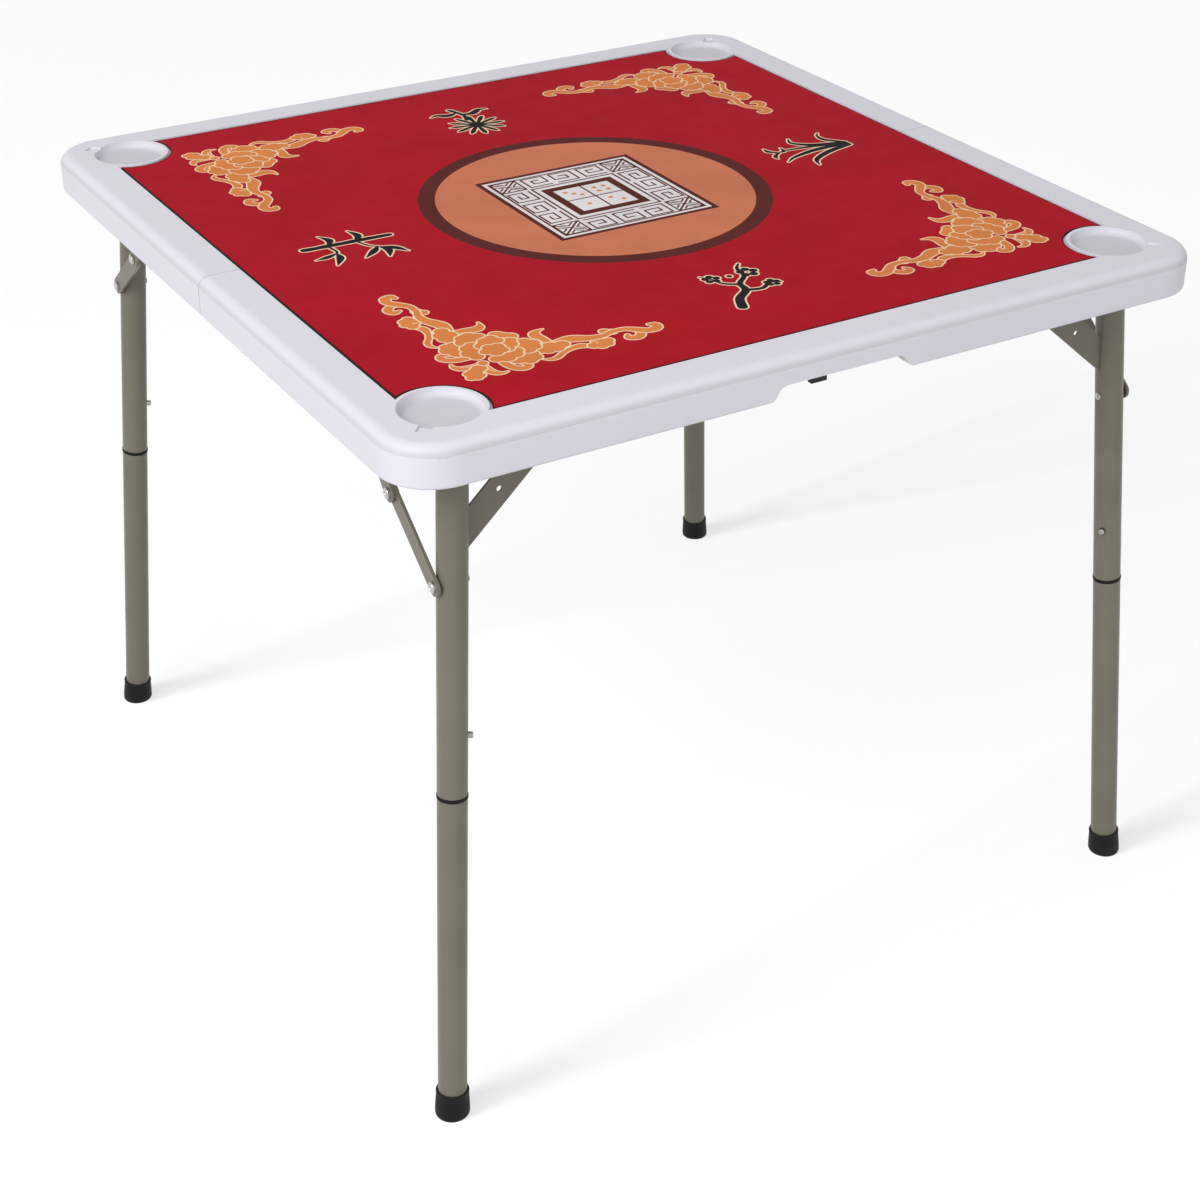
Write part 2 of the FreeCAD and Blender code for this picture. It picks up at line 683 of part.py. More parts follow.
# Lower legs, plugged up into the frame
def lower_leg(end, turn, name, side):
    corner = leg_name(end, name)
    place = turn.multiply(frame_place).multiply(leg_place(side))
    tube_out = rod(f"{corner}_tube_out", at(0, 0, -tube_end), Radius="tube_radius")
    tube_out.Height = tube_end - collar_end

    def shoulder_edge(edge):
        b = edge.BoundBox
        return b.ZMin > -collar_end - size("collar_height") and b.ZLength < size("collar_height") / 2

    tube_out = rounded(f"{corner}_tube_round", tube_out, size("tube_edge_round"), shoulder_edge)
    tube_in = rod(f"{corner}_tube_in", at(0, 0, -tube_end - over), Radius="tube_radius - tube_wall")
    tube_in.Height = tube_end - collar_end + 2 * over
    tube = cut(f"{corner}_tube", tube_out, tube_in)
    tube.Placement = place
    node(tube, f"{corner}_lower_tube")

    plug_low = collar_end + size("plug_reach_down")
    plug_out = rod(f"{corner}_plug_out", at(0, 0, -plug_low), Radius="tube_radius - tube_wall - slide_fit",
                   Height="plug_reach_down + collar_height + plug_reach_up")
    plug_in = rod(f"{corner}_plug_in", at(0, 0, -plug_low - over),
                  Radius="tube_radius - tube_wall - slide_fit - plug_wall",
                  Height="plug_reach_down + collar_height + plug_reach_up + 2 * overrun")
    port = rod(f"{corner}_plug_port", button_place(end, side, 0), Radius="button_radius + running_fit",
               Height="tube_radius + overrun")
    plug = cut(f"{corner}_plug", plug_out, plug_in, port)
    plug.Placement = place
    node(plug, f"{corner}_sleeve")

    ring_out = rod(f"{corner}_ring_out", at(0, 0, -collar_end + size("seat_gap")),
                   Radius="tube_radius + collar_proud",
                   Height="collar_height - 2 * seat_gap")

    def ring_edge(edge):
        return edge.BoundBox.ZLength < size("collar_height") / 2

    ring_out = rounded(f"{corner}_ring_round", ring_out, size("collar_proud"), ring_edge)
    ring_in = rod(f"{corner}_ring_in", at(0, 0, -collar_end - over),
                  Radius="tube_radius - tube_wall - slide_fit + running_fit",
                  Height="collar_height + 2 * overrun")
    ring = cut(f"{corner}_ring", ring_out, ring_in)
    ring.Placement = place
    node(ring, f"{corner}_collar")

    # foot cap, cut level with the floor
    spare = size("tube_radius") + size("foot_wall_bottom")
    foot_out = cone(f"{corner}_foot_out", at(0, 0, -leg_length - over),
                    Radius1="tube_radius + foot_wall_bottom",
                    Radius2="tube_radius + foot_wall_top", Height="foot_height + overrun")
    foot_in = rod(f"{corner}_foot_in", at(0, 0, -tube_end - size("seat_gap")),
                  Radius="tube_radius + running_fit",
                  Height="foot_height + overrun")
    floor = box(f"{corner}_floor",
                place.inverse().multiply(at(-2 * half_width, -2 * half_depth, -2 * spare)),
                Length="2 * table_width", Width="2 * table_depth",
                Height="2 * (tube_radius + foot_wall_bottom)")
    foot = cut(f"{corner}_foot_cap", foot_out, foot_in, floor)
    foot.Placement = place
    node(foot, f"{corner}_foot")

    # snap button on its leaf spring, inside the plug
    bore = size("tube_radius") - size("tube_wall") - size("slide_fit") - size("plug_wall")
    seat = bore - size("button_flange_depth")
    tip = size("tube_radius") + size("button_reach")
    pin = rod(f"{corner}_button_pin", at(0, 0, seat), Radius="button_radius")
    pin.Height = tip - seat

    def tip_edge(edge):
        reach = edge.BoundBox
        return reach.ZMin > tip - size("button_dome") and reach.ZLength < size("button_dome")

    pin = rounded(f"{corner}_button_dome", pin, size("button_dome"), tip_edge)
    flange = rod(f"{corner}_button_flange", at(0, 0, seat), Radius="button_flange_radius",
                 Height="button_flange")
    leaf_top = box(f"{corner}_leaf_top", at(0, -size("leaf_width") / 2, seat),
                   Length="leaf_length", Width="leaf_width", Height="leaf_thickness")
    far = bore - size("seat_gap")
    drop = seat + math.sqrt(far ** 2 - (size("leaf_width") / 2) ** 2)
    slope = math.degrees(math.atan2(drop - size("leaf_thickness"), size("leaf_length")))
    leaf_back = box(f"{corner}_leaf_back",
                    Placement(Vector(size("leaf_length"), -size("leaf_width") / 2, seat),
                              Rotation(Y_AXIS, 180 - slope)),
                    Width="leaf_width", Height="leaf_thickness")
    slant = (drop - size("leaf_thickness")) / math.sin(math.radians(slope))
    leaf_back.Length = slant - size("leaf_thickness")
    spring = fuse(f"{corner}_button_spring", pin, flange, leaf_top, leaf_back)
    spring.Placement = place.multiply(button_place(end, side, 0))
    node(spring, f"{corner}_snap_button")


# Carry handle behind the front notch
def handle():
    y = -half_depth + size("handle_pivot_inset")
    z = deck_under - size("handle_pivot_drop")
    arm_out = size("handle_width") / 2
    arm_in = arm_out - size("handle_arm_width")
    arms = []
    bores = []
    for name, side in SIDES:
        near = arm_in if side > 0 else -arm_out
        arms.append(box(f"handle_arm_{name}", at(near, 0, -size("handle_arm_height") / 2),
                        Length="handle_arm_width",
                        Width="handle_length", Height="handle_arm_height"))
        arms.append(rod(f"handle_boss_{name}", lying(near, 0, 0), Radius="handle_boss_radius",
                        Height="handle_arm_width"))
        bores.append(rod(f"handle_bore_{name}", lying(near - over, 0, 0),
                         Radius="handle_pin_radius + running_fit",
                         Height="handle_arm_width + 2 * overrun"))
    grip = rod("handle_grip_rod", lying(-arm_out, size("handle_length"), 0), Radius="grip_radius",
               Height="handle_width")

    def grip_edge(edge):
        return edge.BoundBox.XLength < size("grip_radius") / 4

    grip = rounded("handle_grip", grip, size("grip_radius") / 3, grip_edge)
    loop = cut("handle_loop_solid", fuse("handle_loop_raw", grip, *arms), *bores)
    loop.Placement = at(0, y, z, X_AXIS, -size("handle_tilt"))
    node(loop, "handle_loop")

    ear_out = arm_in - size("link_play")
    ear_in = ear_out - size("handle_ear_width")
    front = -inner_y + size("seat_gap")
    plate = box("handle_plate", at(-ear_out, front, deck_under - size("handle_base_plate")),
                Width="handle_base_depth", Height="handle_base_plate")
    plate.Length = 2 * ear_out
    solids = [plate]
    holes = []
    pins = []
    radius = size("handle_boss_radius")
    for name, side in SIDES:
        near = ear_in if side > 0 else -ear_out
        ear = box(f"handle_ear_{name}", at(near, y - radius, z), Length="handle_ear_width",
                  Width="2 * handle_boss_radius",
                  Height="handle_pivot_drop")
        solids.append(ear)
        solids.append(rod(f"handle_ear_nose_{name}", lying(near, y, z), Radius="handle_boss_radius",
                          Height="handle_ear_width"))
        holes.append(rod(f"handle_ear_hole_{name}", lying(near - over, y, z),
                         Radius="handle_pin_radius + running_fit",
                         Height="handle_ear_width + 2 * overrun"))
        first = ear_in if side > 0 else -arm_out
        pin = rod(f"handle_pin_{name}", lying(first, y, z), Radius="handle_pin_radius")
        pin.Height = arm_out - ear_in
        pins.append(pin)
    lug = box("handle_lug", at(-size("handle_lug_offset") - size("handle_lug_width") / 2, front,
                               deck_under - size("handle_base_plate") - size("handle_lug_height")),
              Length="handle_lug_width", Width="handle_lug_depth",
              Height="handle_lug_height + handle_base_plate")
    base = cut("handle_base_solid", fuse("handle_base_raw", lug, *solids), *holes)
    node(base, "handle_base")
    node(group("handle_pin_group", *pins), "handle_pins")


for end, turn in TURNS:
    tray(end, turn)
mat()
hinges()
for end, turn in TURNS:
    leg_frame(end, turn)
    spots = knee_braces(end, turn)
    spots += pivot_brackets(end, turn)
    spots += hinge_screws(end)
    screw_heads(end, turn, spots)
    for name, side in SIDES:
        lower_leg(end, turn, name, side)
handle()
doc.recompute()

faults = []
for thing in doc.Objects:
    if "Invalid" in thing.State or "Error" in thing.State:
        faults.append(f"{thing.Name} {thing.State}")
for thing in nodes:
    if thing.Shape.isNull() or not thing.Shape.isValid() or not thing.Shape.Solids:
        faults.append(f"{thing.Label} has no valid shape")
if faults:
    raise SystemExit("; ".join(faults))
for thing in nodes:
    thing.Shape.exportStep(f"parts/{thing.Label}.step")
print(len(nodes), "nodes written")
print("pivot", round(pivot_y, 3), round(pivot_z, 3), "brace foot", [round(v, 3) for v in brace_foot],
      "knee", [round(v, 3) for v in knee], "anchor", [round(v, 3) for v in anchor])
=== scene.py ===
"""Folding square game table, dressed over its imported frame.

Metres, in the frame of the part: +X along the front edge, +Y from front to back, +Z up, with the
origin on the floor under the middle of the table.
"""

import json
import logging
import math
from collections.abc import Callable, Iterable, Sequence
from dataclasses import dataclass, field
from enum import Enum

import bmesh
import bpy
import numpy as np
from mathutils import Matrix, Vector
from mathutils.geometry import delaunay_2d_cdt


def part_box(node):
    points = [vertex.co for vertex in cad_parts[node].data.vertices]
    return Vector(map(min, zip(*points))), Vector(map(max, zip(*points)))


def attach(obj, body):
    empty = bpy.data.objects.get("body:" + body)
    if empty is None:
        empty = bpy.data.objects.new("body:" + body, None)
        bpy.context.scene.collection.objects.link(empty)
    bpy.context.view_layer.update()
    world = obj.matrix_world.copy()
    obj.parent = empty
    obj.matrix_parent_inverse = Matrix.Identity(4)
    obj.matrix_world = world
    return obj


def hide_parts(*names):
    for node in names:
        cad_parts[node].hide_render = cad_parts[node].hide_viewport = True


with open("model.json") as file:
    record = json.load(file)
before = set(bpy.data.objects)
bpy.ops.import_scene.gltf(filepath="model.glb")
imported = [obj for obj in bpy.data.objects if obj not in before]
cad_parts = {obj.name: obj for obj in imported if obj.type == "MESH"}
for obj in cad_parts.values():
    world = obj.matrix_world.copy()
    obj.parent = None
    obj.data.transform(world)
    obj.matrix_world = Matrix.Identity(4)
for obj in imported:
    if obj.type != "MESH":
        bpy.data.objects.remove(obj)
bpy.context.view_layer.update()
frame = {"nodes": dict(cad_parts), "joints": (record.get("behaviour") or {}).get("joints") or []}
MM = 0.001
LOG = logging.getLogger("table")

Colour = tuple[float, float, float]
Knots = Sequence[Sequence[float]]
Profile = Sequence[tuple[float, float]]
Spot = tuple[Vector, tuple[float, float, float]]

# Corners of a mesh that are closer than this, in metres, are one.
MERGE = 1e-6


class Slot(Enum):
    """Material slots of the record."""

    SHELL = "shell"
    MAT = "mat"
    FRAME = "frame"
    ZINC = "zinc"
    RUBBER = "rubber"
    HANDLE = "handle"


class Grain(Enum):
    """Kinds of fine relief that a finish can have."""

    STIPPLE = "moulded stipple"
    PEEL = "sprayed and baked coat"
    WEAVE = "knitted face"
    SPANGLE = "plated metal"
    SKIN = "moulded rubber skin"


# How finely broken up the noise of a finish is.
CLOUD_DETAIL = {Grain.PEEL: 1.0, Grain.SPANGLE: 5.0, Grain.SKIN: 4.0}
FUZZ_DETAIL = 3.0
GLOSS_DETAIL = 3.0
PATCH_DETAIL = 4.0
# Sizes of the fuzz on a weave and of the swell under a stipple, in grains.
FUZZ_PATCH = 5
SWELL_PATCH = 6
# Patches of gloss along a patch of tone.
GLOSS_PATCHES = 3
# The wave pattern runs this many times finer than its scale says.
WAVE_GAIN = 20


class End(Enum):
    """The two halves of the table, with the sign of their side in Y."""

    FRONT = -1
    BACK = 1

    @property
    def word(self) -> str:
        """Name used in node and body names."""
        return self.name.lower()


class Side(Enum):
    """Left and right, with the sign of their side in X."""

    LEFT = -1
    RIGHT = 1

    @property
    def word(self) -> str:
        """Name used in node and body names."""
        return self.name.lower()


def linear(colour: Colour) -> tuple[float, float, float, float]:
    """Scene-linear colour of a screen colour.

    Args:
        colour: Red, green and blue from 0 to 255.

    Returns:
        Linear red, green, blue and an alpha of 1.
    """
    # The numbers are those of the usual screen curve.
    parts = [c / 255 for c in colour]
    return (*[c / 12.92 if c <= 0.04045 else ((c + 0.055) / 1.055) ** 2.4 for c in parts], 1.0)


def shade(colour: Colour, factor: float) -> Colour:
    """A screen colour made lighter or darker by a factor."""
    return tuple(min(255.0, c * factor) for c in colour)


class NodeNet:
    """Node tree with short calls that add and join its nodes."""

    tree: bpy.types.NodeTree

    def add(self, kind: str, values: dict | None = None, **settings: object) -> bpy.types.Node:
        """Adds a node.

        Args:
            kind: Blender's name of the node type.
            values: Numbers, or sockets to join, by the name or index of the input.
            settings: Properties of the node.

        Returns:
            The new node.
        """
        node = self.tree.nodes.new(kind)
        for key, value in settings.items():
            setattr(node, key, value)
        for key, value in (values or {}).items():
            if isinstance(value, bpy.types.NodeSocket):
                self.tree.links.new(value, node.inputs[key])
            else:
                node.inputs[key].default_value = value
        return node

    def maths(self, operation: str, a: object, b: object = 0.0) -> bpy.types.NodeSocket:
        """Result of a sum, product or other operation on one or two values."""
        return self.add("ShaderNodeMath", {0: a, 1: b}, operation=operation).outputs[0]


class ShaderTree(NodeNet):
    """Node tree of one material."""

    # Most of a noise pattern lies between these two values.
    NOISE_LOW = 0.25
    NOISE_HIGH = 0.75
    # Where the dark and the light tone stand along a noise pattern.
    TONE_STOPS = (0.3, 0.7)
    # Places of the colour sockets among all the sockets of a mix node.
    MIX_FIRST = 6
    MIX_SECOND = 7
    MIX_RESULT = 2

    def __init__(self, name: str) -> None:
        """Starts an empty material with an output and a main shader.

        Args:
            name: Name of the material.
        """
        self.material = bpy.data.materials.new(name)
        self.material.use_nodes = True
        self.tree = self.material.node_tree
        self.tree.nodes.clear()
        self.skin = self.add("ShaderNodeBsdfPrincipled")
        self.out = self.add("ShaderNodeOutputMaterial", {"Surface": self.skin.outputs["BSDF"]})
        self.place = self.add("ShaderNodeTexCoord").outputs["Object"]

    def noise(self, size: float, detail: float = 2.0) -> bpy.types.NodeSocket:
        """Value of a cloudy pattern whose patches are about size metres across."""
        values = {"Vector": self.place, "Scale": 1 / size, "Detail": detail}
        return self.add("ShaderNodeTexNoise", values).outputs["Fac"]

    def tones(self, value: object, dark: Colour, light: Colour) -> bpy.types.NodeSocket:
        """Colour between a dark and a light tone, as a cloudy value says.

        Args:
            value: The cloudy value.
            dark: Screen colour at its low end.
            light: Screen colour at its high end.

        Returns:
            The colour's socket.
        """
        node = self.add("ShaderNodeValToRGB", {"Fac": value})
        for element, stop, colour in zip(node.color_ramp.elements, self.TONE_STOPS, (dark, light)):
            element.position = stop
            element.color = linear(colour)
        return node.outputs["Color"]

    def mix(self, share: object, first: object, second: object) -> bpy.types.NodeSocket:
        """Colour that goes from the first to the second as the share goes from 0 to 1."""
        values = {0: share, self.MIX_FIRST: first, self.MIX_SECOND: second}
        return self.add("ShaderNodeMix", values, data_type="RGBA").outputs[self.MIX_RESULT]

    def span(self, value: object, low: float, high: float) -> bpy.types.NodeSocket:
        """A cloudy value spread over a range."""
        values = {"Value": value, "From Min": self.NOISE_LOW, "From Max": self.NOISE_HIGH, "To Min": low,
                  "To Max": high}
        return self.add("ShaderNodeMapRange", values).outputs["Result"]

    def ease(self, value: object, start: float, end: float) -> bpy.types.NodeSocket:
        """A value eased from 0 at the start to 1 at the end."""
        values = {"Value": value, "From Min": start, "From Max": end}
        return self.add("ShaderNodeMapRange", values, interpolation_type="SMOOTHSTEP").outputs["Result"]

    def upright(self, vector: bpy.types.NodeSocket) -> bpy.types.NodeSocket:
        """Upright part of a vector."""
        return self.add("ShaderNodeSeparateXYZ", {0: vector}).outputs["Z"]

    def facing(self) -> bpy.types.NodeSocket:
        """How far a face looks up, from -1 to 1."""
        return self.upright(self.add("ShaderNodeNewGeometry").outputs["True Normal"])

    def relief(self, height: object, depth: float, under: object = None) -> bpy.types.NodeSocket:
        """Normal of a relief that is depth metres high, on top of another one.

        Args:
            height: Height from 0 to 1.
            depth: Height in metres where that is 1.
            under: Normal of the relief below, if there is one.

        Returns:
            The normal's socket.
        """
        values = {"Height": height, "Distance": depth, "Strength": 1.0}
        if under is not None:
            values["Normal"] = under
        return self.add("ShaderNodeBump", values).outputs["Normal"]

    def join(self, socket: bpy.types.NodeSocket, name: str) -> None:
        """Joins a value to an input of the main shader."""
        self.tree.links.new(socket, self.skin.inputs[name])


@dataclass(frozen=True)
class Finish:
    """Colour and surface of one finish.

    Sizes are in metres, colours in screen values.
    """

    name: str
    colour: Colour
    grain: Grain
    grain_size: float
    relief: float
    gloss: tuple[float, float]
    patch: float = 0.12
    spread: float = 0.03
    metallic: float = 0.0
    coat: float = 0.0
    sheen: float = 0.0
    sheen_roughness: float = 0.4
    specular: float = 0.5

    def weave(self, shader: ShaderTree) -> bpy.types.NodeSocket:
        """Height of crossed rows of stitches with some fuzz.

        Args:
            shader: The material that gets the pattern.

        Returns:
            The socket that gives the height.
        """
        values = {"Vector": shader.place, "Scale": 1 / (self.grain_size * WAVE_GAIN), "Distortion": 0.6,
                  "Detail": 1.0, "Detail Scale": 2.0}
        rows = [
            shader.add("ShaderNodeTexWave", values, wave_type="BANDS", bands_direction=axis).outputs["Fac"]
            for axis in ("X", "Y")
        ]
        fuzz = shader.noise(self.grain_size * FUZZ_PATCH, FUZZ_DETAIL)
        return shader.maths("ADD", shader.maths("MULTIPLY", *rows), fuzz)

    def stipple(self, shader: ShaderTree) -> bpy.types.NodeSocket:
        """Height of small round bumps on a gentle swell.

        Args:
            shader: The material that gets the pattern.

        Returns:
            The socket that gives the height.
        """
        values = {"Vector": shader.place, "Scale": 1 / self.grain_size, "Randomness": 1.0}
        bumps = shader.add("ShaderNodeTexVoronoi", values, feature="SMOOTH_F1").outputs["Distance"]
        return shader.maths("ADD", bumps, shader.noise(self.grain_size * SWELL_PATCH))

    def height(self, shader: ShaderTree) -> bpy.types.NodeSocket:
        """Height of the fine relief, from 0 to 1.

        Args:
            shader: The material that gets the pattern.

        Returns:
            The socket that gives the height.
        """
        if self.grain is Grain.WEAVE:
            return self.weave(shader)
        if self.grain is Grain.STIPPLE:
            return self.stipple(shader)
        return shader.noise(self.grain_size, CLOUD_DETAIL[self.grain])

    def normal(self, shader: ShaderTree) -> bpy.types.NodeSocket:
        """Normal of the surface with its fine relief."""
        return shader.relief(self.height(shader), self.relief)

    def base(self, shader: ShaderTree) -> bpy.types.NodeSocket:
        """Colour of the surface, in patches of a slightly lighter and darker tone.

        Args:
            shader: The material that gets the pattern.

        Returns:
            The colour's socket.
        """
        dark = shade(self.colour, 1 - self.spread)
        light = shade(self.colour, 1 + self.spread)
        return shader.tones(shader.noise(self.patch, PATCH_DETAIL), dark, light)

    def material(self) -> bpy.types.Material:
        """The finish as a material.

        Returns:
            A new material, or the one already made under this name.
        """
        if self.name in bpy.data.materials:
            return bpy.data.materials[self.name]
        shader = ShaderTree(self.name)
        shader.join(self.base(shader), "Base Color")
        cloud = shader.noise(self.patch / GLOSS_PATCHES, GLOSS_DETAIL)
        shader.join(shader.span(cloud, *self.gloss), "Roughness")
        shader.join(self.normal(shader), "Normal")
        constants = {"Metallic": self.metallic, "Coat Weight": self.coat, "Sheen Weight": self.sheen,
                     "Sheen Roughness": self.sheen_roughness, "Specular IOR Level": self.specular}
        for socket, value in constants.items():
            shader.skin.inputs[socket].default_value = value
        shader.material.diffuse_color = linear(self.colour)
        return shader.material


@dataclass(frozen=True)
class MouldedFinish(Finish):
    """Blow-moulded plastic with rows of shallow pockets underneath and painted shade in the cup dishes."""

    pocket_pitch: float = 0.064
    pocket_depth: float = 0.004
    pocket_shares: tuple[float, float] = (0.2, 0.36)
    underside: float = 0.713
    looks_down: float = -0.5
    looks_up: float = 0.1
    dish_floor: float = 0.716
    dish_edge: float = 0.7212
    # Colour of the painted shade on the floor of the cup dishes, standing for the shade of their walls.
    dish_scuff: Colour = (209, 207, 214)

    def base(self, shader: ShaderTree) -> bpy.types.NodeSocket:
        """Colour of the skin, with painted shade that darkens it towards the floor of the cup dishes.

        Args:
            shader: The material that gets the pattern.

        Returns:
            The colour's socket.
        """
        # Painted shade: faces that look up darken towards the floor of the cup dishes.
        low = shader.ease(shader.upright(shader.place), self.dish_edge, self.dish_floor)
        painted_shade = shader.maths("MULTIPLY", low, shader.maths("GREATER_THAN", shader.facing(), self.looks_up))
        return shader.mix(painted_shade, super().base(shader), linear(self.dish_scuff))

    def normal(self, shader: ShaderTree) -> bpy.types.NodeSocket:
        """Normal of the stippled skin, over the pockets where the face is the deck's underside.

        Args:
            shader: The material that gets the pattern.

        Returns:
            The normal's socket.
        """
        values = {"Vector": shader.place, "Scale": 1 / self.pocket_pitch, "Randomness": 0.0}
        cells = shader.add("ShaderNodeTexVoronoi", values, voronoi_dimensions="2D").outputs["Distance"]
        wall = shader.ease(cells, *self.pocket_shares)
        height = shader.upright(shader.place)
        above = shader.maths("GREATER_THAN", height, self.underside - MM)
        below = shader.maths("LESS_THAN", height, self.underside + MM)
        down = shader.maths("LESS_THAN", shader.facing(), self.looks_down)
        deck = shader.maths("MULTIPLY", shader.maths("MULTIPLY", above, below), down)
        pockets = shader.relief(shader.maths("MULTIPLY", deck, wall), self.pocket_depth)
        return shader.relief(self.height(shader), self.relief, pockets)


SHELL = MouldedFinish("shell_white", (226, 224, 232), Grain.STIPPLE, 0.0011, 0.00005, (0.5, 0.62),
                      patch=0.2, spread=0.008, specular=0.35)
COAT = Finish("leg_powder_coat", (117, 114, 100), Grain.PEEL, 0.0016, 0.00003, (0.34, 0.46),
              patch=0.06, spread=0.025, coat=0.12, specular=0.25)
ZINC = Finish("zinc_plate", (196, 195, 192), Grain.SPANGLE, 0.0012, 0.00001, (0.22, 0.38),
              patch=0.01, spread=0.06, metallic=1.0)
# Darker copy of the zinc plate for the snap buttons: a painted dark reflection in their plated faces.
ZINC_PAINTED_REFLECTION = Finish("button_steel", (160, 159, 156), Grain.SPANGLE, 0.0012, 0.00001, (0.2, 0.32),
               patch=0.01, spread=0.06, metallic=1.0)
RUBBER = Finish("foot_rubber", (11, 11, 12), Grain.SKIN, 0.0009, 0.00004, (0.5, 0.68),
                patch=0.02, spread=0.12, specular=0.22)
GRIP = Finish("handle_black", (14, 14, 16), Grain.STIPPLE, 0.0009, 0.00006, (0.38, 0.52),
              patch=0.03, spread=0.1, specular=0.35)
BACKING = Finish("mat_backing", (30, 29, 30), Grain.SKIN, 0.0015, 0.0001, (0.8, 0.95),
                 patch=0.03, spread=0.1)


class Ink(Enum):
    """Colours printed on the mat, in the order of their material slots."""

    RED = (175, 12, 32)
    BROWN = (88, 34, 30)
    PEACH = (211, 124, 91)
    CREAM = (253, 220, 182)
    GOLD = (224, 135, 73)
    WHITE = (236, 230, 228)
    BLACK = (24, 20, 22)
    # Dark band along the mat's cut edge: part the black rubber showing at the edge, part painted shade of the
    # gap along the rim.
    EDGE = (40, 9, 13)

    def finish(self) -> Finish:
        """The printed cloth in this colour."""
        return Finish(f"mat_{self.name.lower()}", self.value, Grain.WEAVE, 0.0006, 0.00006, (0.78, 0.9),
                      patch=0.09, spread=0.035, sheen=0.02, specular=0.1)


def mesh_object(
    name: str,
    points: Iterable[Sequence[float]],
    faces: Sequence[Sequence[int]],
    materials: Sequence[bpy.types.Material],
    picks: Sequence[int] | None = None,
    smooth: bool = True,
) -> bpy.types.Object:
    """Makes an object at the origin from points and faces.

    Args:
        name: Name of the object.
        points: Corners in metres.
        faces: Corner numbers of each face.
        materials: Materials in the order of their slots.
        picks: Slot of each face, 0 for all if left out.
        smooth: Whether faces are shaded smooth.

    Returns:
        The object, linked to the scene.
    """
    mesh = bpy.data.meshes.new(name)
    mesh.from_pydata([tuple(p) for p in points], [], [tuple(f) for f in faces])
    for material in materials:
        mesh.materials.append(material)
    if picks is not None:
        mesh.polygons.foreach_set("material_index", np.asarray(picks, np.int32))
    mesh.polygons.foreach_set("use_smooth", np.full(len(mesh.polygons), smooth))
    mesh.update()
    made = bpy.data.objects.new(name, mesh)
    bpy.context.scene.collection.objects.link(made)
    return made


def tidy(made: bpy.types.Object, sharp: float | None = None) -> bpy.types.Object:
    """Merges doubles, turns faces outwards and marks sharp edges.

    Args:
        made: The object to tidy.
        sharp: Angle in degrees over which an edge is sharp.

    Returns:
        The same object.
    """
    work = bmesh.new()
    work.from_mesh(made.data)
    bmesh.ops.remove_doubles(work, verts=work.verts, dist=MERGE)
    bmesh.ops.recalc_face_normals(work, faces=work.faces)
    work.to_mesh(made.data)
    work.free()
    if sharp is not None:
        made.data.set_sharp_from_angle(angle=math.radians(sharp))
    return made


def fit(made: bpy.types.Object, body: str) -> bpy.types.Object:
    """Lets a finished piece ride on a body.

    Args:
        made: The piece.
        body: Name of the body.

    Returns:
        The same piece.
    """
    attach(made, body)
    LOG.info("piece %s rides on %s", made.name, body)
    return made


def islands(node: str) -> list[tuple[Vector, Vector]]:
    """Boxes of the separate solids of a node.

    Args:
        node: Name of the node.

    Returns:
        Lowest and highest corner of each solid.
    """
    work = bmesh.new()
    work.from_mesh(frame["nodes"][node].data)
    bmesh.ops.remove_doubles(work, verts=work.verts, dist=MERGE)
    seen: set[int] = set()
    boxes = []
    work.verts.ensure_lookup_table()
    for first in work.verts:
        if first.index in seen:
            continue
        seen.add(first.index)
        front = [first]
        group = []
        while front:
            at = front.pop()
            group.append(at.co.copy())
            for edge in at.link_edges:
                other = edge.other_vert(at)
                if other.index not in seen:
                    seen.add(other.index)
                    front.append(other)
        low = Vector(map(min, zip(*group)))
        high = Vector(map(max, zip(*group)))
        boxes.append((low, high))
    work.free()
    return boxes


# Least half width of a brush stroke in millimetres, and corners round each of its ends.
THINNEST = 0.1
CAP_POINTS = 7


def smooth_path(knots: Knots, step: float) -> np.ndarray:
    """Points along a smooth line through knots.

    Args:
        knots: Places, each with any further values that run along with it.
        step: Distance between points.

    Returns:
        One row for each point.
    """
    knots = np.asarray(knots, float)
    ring = np.vstack([2 * knots[0] - knots[1], knots, 2 * knots[-1] - knots[-2]])
    runs = []
    for a, b, c, d in zip(ring, ring[1:], ring[2:], ring[3:]):
        count = max(2, round(np.linalg.norm((c - b)[:2]) / step))
        t = np.linspace(0, 1, count, endpoint=False)[:, None]
        runs.append(0.5 * (2 * b + (c - a) * t + (2 * a - 5 * b + 4 * c - d) * t**2
                           + (3 * b - a - 3 * c + d) * t**3))
    return np.vstack([*runs, knots[-1:]])


def brush(knots: Knots, grow: float = 0.0, step: float = 1.6) -> np.ndarray:
    """Outline of a brush stroke with round ends.

    Args:
        knots: Rows of x, y and width.
        grow: Margin added all round.
        step: Distance between points along the stroke.

    Returns:
        The outline's corners.
    """
    line = smooth_path(knots, step)
    along = np.gradient(line[:, :2], axis=0)
    along /= np.linalg.norm(along, axis=1)[:, None]
    across = np.stack([-along[:, 1], along[:, 0]], 1)
    half = np.maximum(line[:, 2:3] / 2, THINNEST) + grow
    left = line[:, :2] + across * half
    right = line[:, :2] - across * half

    def cap(n: int, start: float) -> list[np.ndarray]:
        """Corners of the half circle at one end, from a first angle."""
        turns = np.radians(np.linspace(start, start - 180, CAP_POINTS))[1:-1]
        return [line[n, :2] + half[n] * (math.cos(a) * along[n] + math.sin(a) * across[n]) for a in turns]

    return np.vstack([left, *cap(-1, 90), right[::-1], *cap(0, -90)])


def disc(x: float, y: float, radius: float, count: int = 48) -> np.ndarray:
    """Corners of a round spot."""
    turn = np.linspace(0, 2 * np.pi, count, endpoint=False)
    return np.stack([x + radius * np.cos(turn), y + radius * np.sin(turn)], 1)


